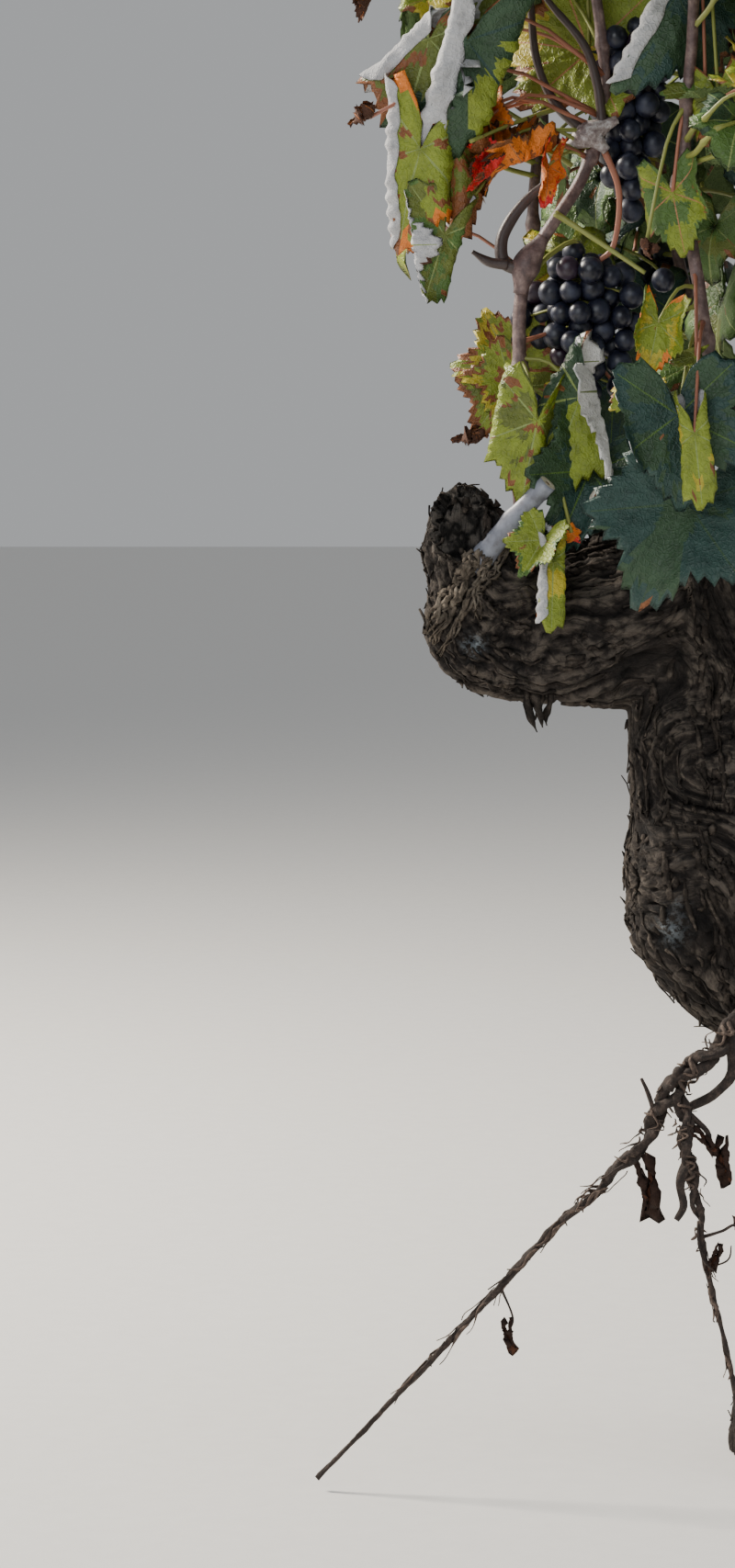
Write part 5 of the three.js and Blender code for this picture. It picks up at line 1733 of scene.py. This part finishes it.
CURLED = [(20, -0.05, 120, 0.16, 1), (115, 0.05, 140, 0.12, 1), (-110, 0.06, 120, 0.12, 1)]
SHOWN_LEAVES = {
    "left": [
        shown((468, 42), (432, 164), (-0.086, -0.072), (-0.2, -1, 0.3),
              [(-119, 0.07, 150, 0.03, -1), (90, 0.02, 30, 0.12, -1), (60, 0.2, 40, 0.2, -1)],
              (OLIVE, SHADE_DARK, UNDER, VEIN, RUST, 0.20, 0.26), root=0.50, edges=[(-119, 0.025, 0.12)]),
        shown((508, 44), (450, 198), (-0.100, -0.085), (0.2, -1, 0.1),
              [(-84, 0.05, 155, 0.03, -1), (90, 0.17, 150, 0.03, -1), (0, 0.2, 15, 0.3, -1)],
              (SHADE_DARK, SUNLIT_BRIGHT, UNDER, SHADE_BLUE, RUST, 0.08, 0.14), root=0.56, edges=[(-84, 0.0, 0.09)],
              patch_way=(-1.2, -2.2), patch_share=-0.12),
        shown((458, 162), (425, 283), (-0.085, -0.075), (-0.2, -1, 0.25),
              [(-75, 0.15, 140, 0.03, -1), (105, 0.09, 100, 0.05, -1), (0, 0.2, 20, 0.3, -1)],
              (SUNLIT_BRIGHT, OLIVE, UNDER, VEIN, ORANGE, 0.30, 0.30), root=0.42, edges=[(-75, 0.13, 0.20)]),
        shown((492, 158), (497, 270), (-0.078, -0.074), (-0.5, -1, 0.2),
              [(90, 0.03, 88, 0.03, -1), (-90, 0.02, 84, 0.03, -1)],
              (OLIVE, RUST, DRY, RUST, RUST, 0.44, 0.40), root=0.44, wave=0.03),
        shown((484, 256), (458, 340), (-0.080, -0.075), (0.2, -1, 0.2),
              [(-64, 0.25, 165, 0.02, 1), (90, 0.10, 130, 0.04, -1), (0, 0.42, 60, 0.08, 1)],
              (OLIVE, MIDDLE, UNDER, VEIN, DRY, 0.12, 0.12), root=0.42),
        shown((641, 56), (533, 40), (-0.012, 0.010), (0.1, -1, 0.15),
              [(90, 0.0, 12, 0.1, 1), (-90, 0.0, 12, 0.1, 1), (0, 0.3, 20, 0.3, -1)],
              (SUNLIT_BRIGHT, YELLOW, UNDER_GREEN, VEIN_RED, RUST, 0.26, 0.14), root=0.60),
        shown((566, 172), (508, 196), (-0.055, -0.075), (0.1, -0.7, 0.8),
              [(90, 0.03, 105, 0.08, 1), (-90, 0.05, 85, 0.10, 1), (0, 0.25, 70, 0.15, -1)],
              (ORANGE, RUST, ORANGE, VEIN_RED, DRY, 0.24, 0.30), root=0.36, wave=0.035),
        shown((597, 180), (594, 226), (-0.050, -0.060), (0.3, -1, 0.4),
              [(90, 0.04, 100, 0.10, 1), (-90, 0.02, 80, 0.10, 1)],
              (ORANGE, RED, ORANGE, VEIN_RED, RED, 0.30, 0.20), root=0.36, wave=0.035),
        shown((530, 124), (541, 168), (-0.060, -0.064), (0.6, -1, 0.2),
              [(90, 0.0, 80, 0.08, 1), (-90, 0.0, 60, 0.08, 1)],
              (ORANGE, YELLOW, UNDER_GREEN, VEIN_RED, RUST, 0.30, 0.10), root=0.40, wave=0.02),
        shown((528, 168), (486, 160), (-0.068, -0.076), (0, -0.8, 0.7),
              [(90, 0.02, 95, 0.06, 1), (-90, 0.05, 70, 0.08, -1)],
              (ORANGE, YELLOW, RUST, VEIN_RED, RED, 0.30, 0.26), root=0.38, wave=0.04),
        shown((532, 184), (508, 210), (-0.072, -0.078), (-0.3, -0.9, 0.4),
              [(90, 0.06, 90, 0.08, 1), (-90, 0.04, 80, 0.08, 1)],
              (RED, RUST, RED, RED, DRY, 0.30, 0.20), root=0.36, wave=0.04),
        shown((562, 404), (524, 337), (0.004, 0.012), (-0.2, -1, 0.15),
              [(90, 0.0, 18, 0.1, 1), (-90, 0.0, 10, 0.1, 1), (60, 0.35, 30, 0.2, -1)],
              (SUNLIT_BRIGHT, YELLOW, UNDER_GREEN, VEIN, RUST, 0.24, 0.28), root=0.14),
        shown((556, 420), (514, 476), (0.000, 0.008), (-0.3, -1, 0.15),
              [(90, 0.1, 40, 0.1, -1), (-90, 0.0, 20, 0.1, 1)],
              (SUNLIT_BRIGHT, OLIVE, UNDER_GREEN, VEIN, RUST, 0.34, 0.30), root=0.12),
        shown((585, 458), (566, 553), (-0.058, -0.054), (-0.15, -1, 0.12),
              [(-90, 0.27, 165, 0.03, -1), (90, 0.02, 80, 0.03, -1), (0, 0.40, 30, 0.2, -1)],
              (SUNLIT_BRIGHT, OLIVE, UNDER, VEIN, YELLOW, 0.03, 0.22), root=0.06, patch_scale=9.0,
              patch_share=0.36),
        # This leaf's folded underside is painted white: a painted highlight.
        shown((632, 432), (586, 552), (-0.046, -0.044), (0.05, -1, 0.1),
              [(124, 0.06, 108, 0.03, 1), (-100, 0.14, 140, 0.03, -1), (0, 0.3, 14, 0.3, -1)],
              (SHADE_DARK, SUNLIT_BRIGHT, UNDER_HIGHLIT, VEIN, RUST, 0.10, 0.10), root=0.06, patch_way=(0, -1.5),
              patch_share=0.40),
        shown((668, 416), (664, 500), (0.020, 0.022), (0.2, -1, 0.1),
              [(90, 0.1, 30, 0.2, -1), (-90, 0.1, 30, 0.2, -1)],
              (SHADE_DARK, SHADE_BLUE, UNDER_GREEN, MIDDLE, RUST, 0.05, 0.08), root=0.08),
        shown((656, 512), (664, 604), (0.028, 0.026), (-0.2, -1, 0.1),
              [(90, 0.1, 30, 0.2, -1), (-90, 0.1, 30, 0.2, -1)],
              (SHADE_BLUE, SHADE_DARK, UNDER_GREEN, MIDDLE, RUST, 0.05, 0.08), root=0.02),
        shown((642, 512), (603, 604), (-0.036, -0.052), (0.3, -1, 0.2),
              [(90, 0.0, 40, 0.12, 1), (-90, 0.0, 22, 0.12, 1), (0, 0.35, 45, 0.2, -1)],
              (SHADE_BLUE, SHADE_DARK, UNDER, MIDDLE, RUST, 0.05, 0.08), root=0.03),
        shown((592, 580), (613, 602), (-0.052, -0.060), (0.2, -1, 0.5),
              [(90, 0.02, 120, 0.05, 1), (-90, 0.04, 60, 0.08, 1)],
              (SHADE_BLUE, SHADE_DARK, UNDER, UNDER, ORANGE, 0.10, 0.08), cane=0.55),
        shown((590, 588), (566, 630), (-0.064, -0.070), (-0.25, -1, 0.3),
              [(90, 0.0, 40, 0.1, 1), (-90, 0.0, 12, 0.1, 1)],
              (SUNLIT_BRIGHT, MIDDLE, UNDER_GREEN, VEIN, RUST, 0.08, 0.16), cane=0.50),
        shown((602, 610), (600, 690), (-0.066, -0.076), (0.3, -1, 0.1),
              [(90, 0.08, 120, 0.03, -1), (-90, 0.06, 120, 0.03, -1)],
              (SUNLIT_BRIGHT, YELLOW, UNDER, VEIN, ORANGE, 0.12, 0.08), cane=0.42, edges=[(-90, 0.05, 0.11)]),
        shown((622, 580), (632, 591), (-0.050, -0.052), (0.2, -1, 0.3),
              [(90, 0.02, 60, 0.1, 1)],
              (ORANGE, RED, RUST, VEIN_RED, DRY, 0.20, 0.10), root=0.02),
        shown((402, 128), (382, 158), (-0.090, -0.090), (-0.4, -0.6, 0.7),
              CURLED,
              (RUST, DRY, DRY, ORANGE, DRY, 0.34, 0.20), root=0.44, wave=0.06),
        shown((404, -8), (392, 26), (-0.085, -0.085), (-0.3, -0.8, 0.5),
              [(90, 0.0, 110, 0.10, 1), (-90, 0.0, 90, 0.12, 1)],
              (RUST, DRY, DRY, ORANGE, DRY, 0.40, 0.20), root=0.56, wave=0.04),
        shown((516, 482), (488, 498), (0.006, 0.002), (0, -0.5, 0.9),
              CURLED,
              (DRY, RUST, DRY, RUST, DRY, 0.40, 0.20), foot=(530, 474, 0.012), wave=0.05),
    ],
    "front_left": [
        shown((738, 452), (748, 560), (-0.180, -0.186), (0.1, -1, 0.35),
              [(-75, 0.30, 70, 0.06, 1), (90, 0.0, 16, 0.1, 1), (0, 0.3, 30, 0.3, -1)],
              (SHADE_BLUE, SHADE_DARK, UNDER, MIDDLE, RUST, 0.05, 0.08), root=0.10),
        shown((756, 472), (765, 556), (-0.198, -0.202), (0, -1, 0.2),
              [(90, 0.09, 110, 0.03, -1), (-90, 0.08, 110, 0.03, -1)],
              (SUNLIT_BRIGHT, YELLOW, UNDER, VEIN, RUST, 0.08, 0.14), root=0.10),
        shown((748, 548), (690, 664), (-0.160, -0.176), (-0.1, -1, 0.5),
              [(90, 0.0, 14, 0.1, 1), (-90, 0.0, 14, 0.1, 1), (0, 0.3, 30, 0.3, -1)],
              (SHADE_BLUE, SHADE_DARK, UNDER_GREEN, SHADE_DARK, RUST, 0.03, 0.06), root=0.03),
        shown((716, 352), (704, 412), (-0.172, -0.178), (0.2, -1, 0.3),
              [(90, 0.14, 80, 0.1, 1), (-90, 0.12, 70, 0.1, 1), (0, 0.3, 50, 0.3, -1)],
              (SUNLIT_BRIGHT, YELLOW, UNDER_GREEN, VEIN, ORANGE, 0.28, 0.16), root=0.14),
        shown((696, 420), (664, 448), (-0.166, -0.170), (-0.1, -1, 0.3),
              [(90, 0.1, 60, 0.1, 1), (-90, 0.1, 60, 0.1, -1)],
              (SUNLIT_BRIGHT, YELLOW, UNDER_GREEN, VEIN, RUST, 0.22, 0.14), root=0.12),
        shown((758, 388), (728, 396), (-0.170, -0.172), (0, -1, 0.5),
              [(90, 0.1, 60, 0.1, 1), (-90, 0.12, 60, 0.1, -1)],
              (OLIVE, SUNLIT_BRIGHT, UNDER_GREEN, VEIN, RUST, 0.12, 0.10), root=0.16),
        shown((732, 210), (746, 280), (-0.150, -0.156), (-0.2, -1, 0.3),
              [(90, 0.14, 70, 0.1, 1), (-90, 0.16, 80, 0.1, -1), (0, 0.4, 20, 0.3, -1)],
              (SUNLIT_BRIGHT, MIDDLE, UNDER_GREEN, VEIN_RED, RUST, 0.14, 0.16), root=0.34),
        shown((702, 272), (716, 292), (-0.160, -0.160), (0, -0.5, 0.9),
              CURLED,
              (DRY, RUST, DRY, RUST, DRY, 0.40, 0.20), root=0.34, wave=0.05),
        shown((782, 108), (789, 178), (-0.160, -0.166), (-0.3, -1, 0.2),
              [(90, 0.1, 60, 0.1, 1), (-90, 0.16, 80, 0.08, -1)],
              (SUNLIT_BRIGHT, OLIVE, UNDER_GREEN, VEIN, RUST, 0.30, 0.12), root=0.52),
        shown((768, 98), (718, 103), (-0.154, -0.158), (-0.1, -1, 0.5),
              [(90, 0.08, 80, 0.06, 1), (-90, 0.10, 90, 0.06, -1)],
              (OLIVE, MIDDLE, UNDER_GREEN, VEIN, RUST, 0.10, 0.10), root=0.50),
        shown((737, -6), (670, 104), (-0.150, -0.150), (0.1, -1, 0.2),
              [(-86, 0.06, 150, 0.03, -1), (90, 0.05, 30, 0.2, -1)],
              (SHADE_DARK, SHADE_BLUE, UNDER, SHADE_DARK, RUST, 0.06, 0.10), root=0.62, edges=[(-86, 0.02, 0.11)]),
    ],
}
# Twigs and stalks among them: their finish, pixels along them, depths of both ends, and radii along them.
SHOWN_TWIGS = [
    # The first four twigs are painted dark for the shade they lie in.
    (SHADED_STALK_KIND, [(640, 148), (604, 112), (584, 65), (577, 0), (570, -70)], (-0.036, -0.052),
     (0.0030, 0.0024, 0.0016)),
    (SHADED_STALK_KIND, [(656, 140), (650, 92), (635, 48), (596, 0), (566, -50)], (-0.036, -0.046),
     (0.0030, 0.0024, 0.0014)),
    (SHADED_STALK_KIND, [(572, 294), (549, 286), (546, 262), (557, 238), (575, 216), (597, 198)], (-0.042, -0.040),
     (0.0040, 0.0036, 0.0028)),
    (SHADED_STALK_KIND, [(552, 288), (532, 285), (514, 274)], (-0.044, -0.046), (0.0034, 0.0028, 0.0014)),
    (CANE_KIND, [(592, 258), (573, 289), (566, 320)], (-0.041, -0.042), (0.0040, 0.0086, 0.0044)),
    # The two swollen joints take the pale finish: a painted highlight.
    (HIGHLIT_KNOT_KIND, [(619, 160), (640, 146), (672, 130)], (-0.036, -0.036), (0.0030, 0.0078, 0.0026)),
    (HIGHLIT_KNOT_KIND, [(628, 138), (646, 150), (660, 164)], (-0.038, -0.034), (0.0026, 0.0060, 0.0030)),
    (GREEN_KIND, [(606, 118), (560, 134), (512, 154)], (-0.040, -0.088), (0.0016, 0.0012, 0.0012)),
    (GREEN_KIND, [(622, 180), (600, 166), (575, 161), (542, 168)], (-0.036, -0.062),
     (0.0016, 0.0012, 0.0012)),
    (RED_KIND, [(652, 152), (671, 196), (674, 230), (667, 269), (652, 284)], (-0.034, -0.022),
     (0.0022, 0.0018, 0.0016)),
    (GREEN_KIND, [(604, 232), (650, 262), (702, 297)], (-0.042, -0.060), (0.0020, 0.0016, 0.0013)),
    (RED_KIND, [(638, 64), (592, 38), (530, 26)], (-0.022, -0.010), (0.0015, 0.0010, 0.0006)),
]
WITHERED_LEAVES = [  # on the dead shoots: pixels of the stalk's end and of the tip, and the depth
    ((705, 1284), (717, 1338), -0.078),
    ((786, 1258), (788, 1298), -0.090),
    ((764, 1240), (786, 1258), -0.092),
    ((553, 1450), (557, 1478), -0.076),
    ((806, 1338), (816, 1366), -0.088),
    ((779, 1366), (770, 1390), -0.086),
]
ROLLED = [(90, 0.07, 340, 0.065, 1), (-90, 0.07, 335, 0.060, 1), (0, 0.25, 40, 0.30, -1)]
WITHERED_LOOK = (0, 1, 1, 1, 1, 0.30, 0)


def placed_leaf(spec, random):
    """A blade whose stalk's end and tip the photograph shows, at depths."""
    stalk, end = (seen_at(*spec[mark], depth) for mark, depth in zip(("at", "tip"), spec["depths"]))
    along = unit(end - stalk)
    face = unit(np.array(spec["face"], float))
    leaf = {"wave": 0.010, "pucker": 1.2, "patch_scale": 5.0, **tinted({}, spec["look"], random), **spec}
    leaf.update(stalk=stalk, tip=along, face=unit(face - along * (face @ along)),
                width=np.linalg.norm(end - stalk) / max(LOBE_REACHES))
    return leaf


def grow_shown_leaf(mass, spec):
    """One of the leaves that show, with its stalk from its own stem."""
    leaf = placed_leaf(spec, mass.look)
    for edge in spec.get("edges", []):
        mass.leaves.append(rolled_edge(leaf, *edge))
    if "foot" in spec:
        root = seen_at(*spec["foot"])
    elif "cane" in spec:
        root = curve(CANES[mass.index], [spec["cane"]])[0]
    else:
        root = on_stem(mass.index, spec["root"])
    kind = RED_KIND if mass.look() < 0.4 else GREEN_KIND
    mass.add_leaf(leaf, root, FINE, kind, 0.2)


def grow_shown_twigs(mass):
    """The twigs, swollen joints and stalks that show between the leaves, and one stray berry."""
    for kind, marks, depths, radii in SHOWN_TWIGS:
        steps = 8 * len(marks)
        shares = np.linspace(0, 1, steps)
        deep = np.linspace(*depths, len(marks))
        line = curve([seen_at(*mark, depth) for mark, depth in zip(marks, deep)], shares)
        thick = radius_along(radii, shares) * (1 + 0.16 * (noise(line / 0.006, 35) - 0.5))
        mass.twigs.append(colored(tube(line, thick, 10, 0.05, 4, 3), kind))
    mark, depth = STRAY_BERRY
    mass.berries += berry_shapes([seen_at(*mark, depth)], 2, 520)


for index in range(len(MASSES)):
    grow_mass(index)

random = seeded(57)
withered_finishes = [leaf_finish("withered_brown", (0.078, 0.030, 0.016)),
                     leaf_finish("withered_rim", (0.026, 0.013, 0.009))]
withered = []
for at, tip, depth in WITHERED_LEAVES:
    spec = shown(at, tip, (depth, depth - 0.004), (random() - 0.5, -1, random()), ROLLED, WITHERED_LOOK,
                 wave=0.07)
    withered.append(leaf_shape(MEDIUM, placed_leaf(spec, random)))
add_piece("withered_leaves", withered, withered_finishes)
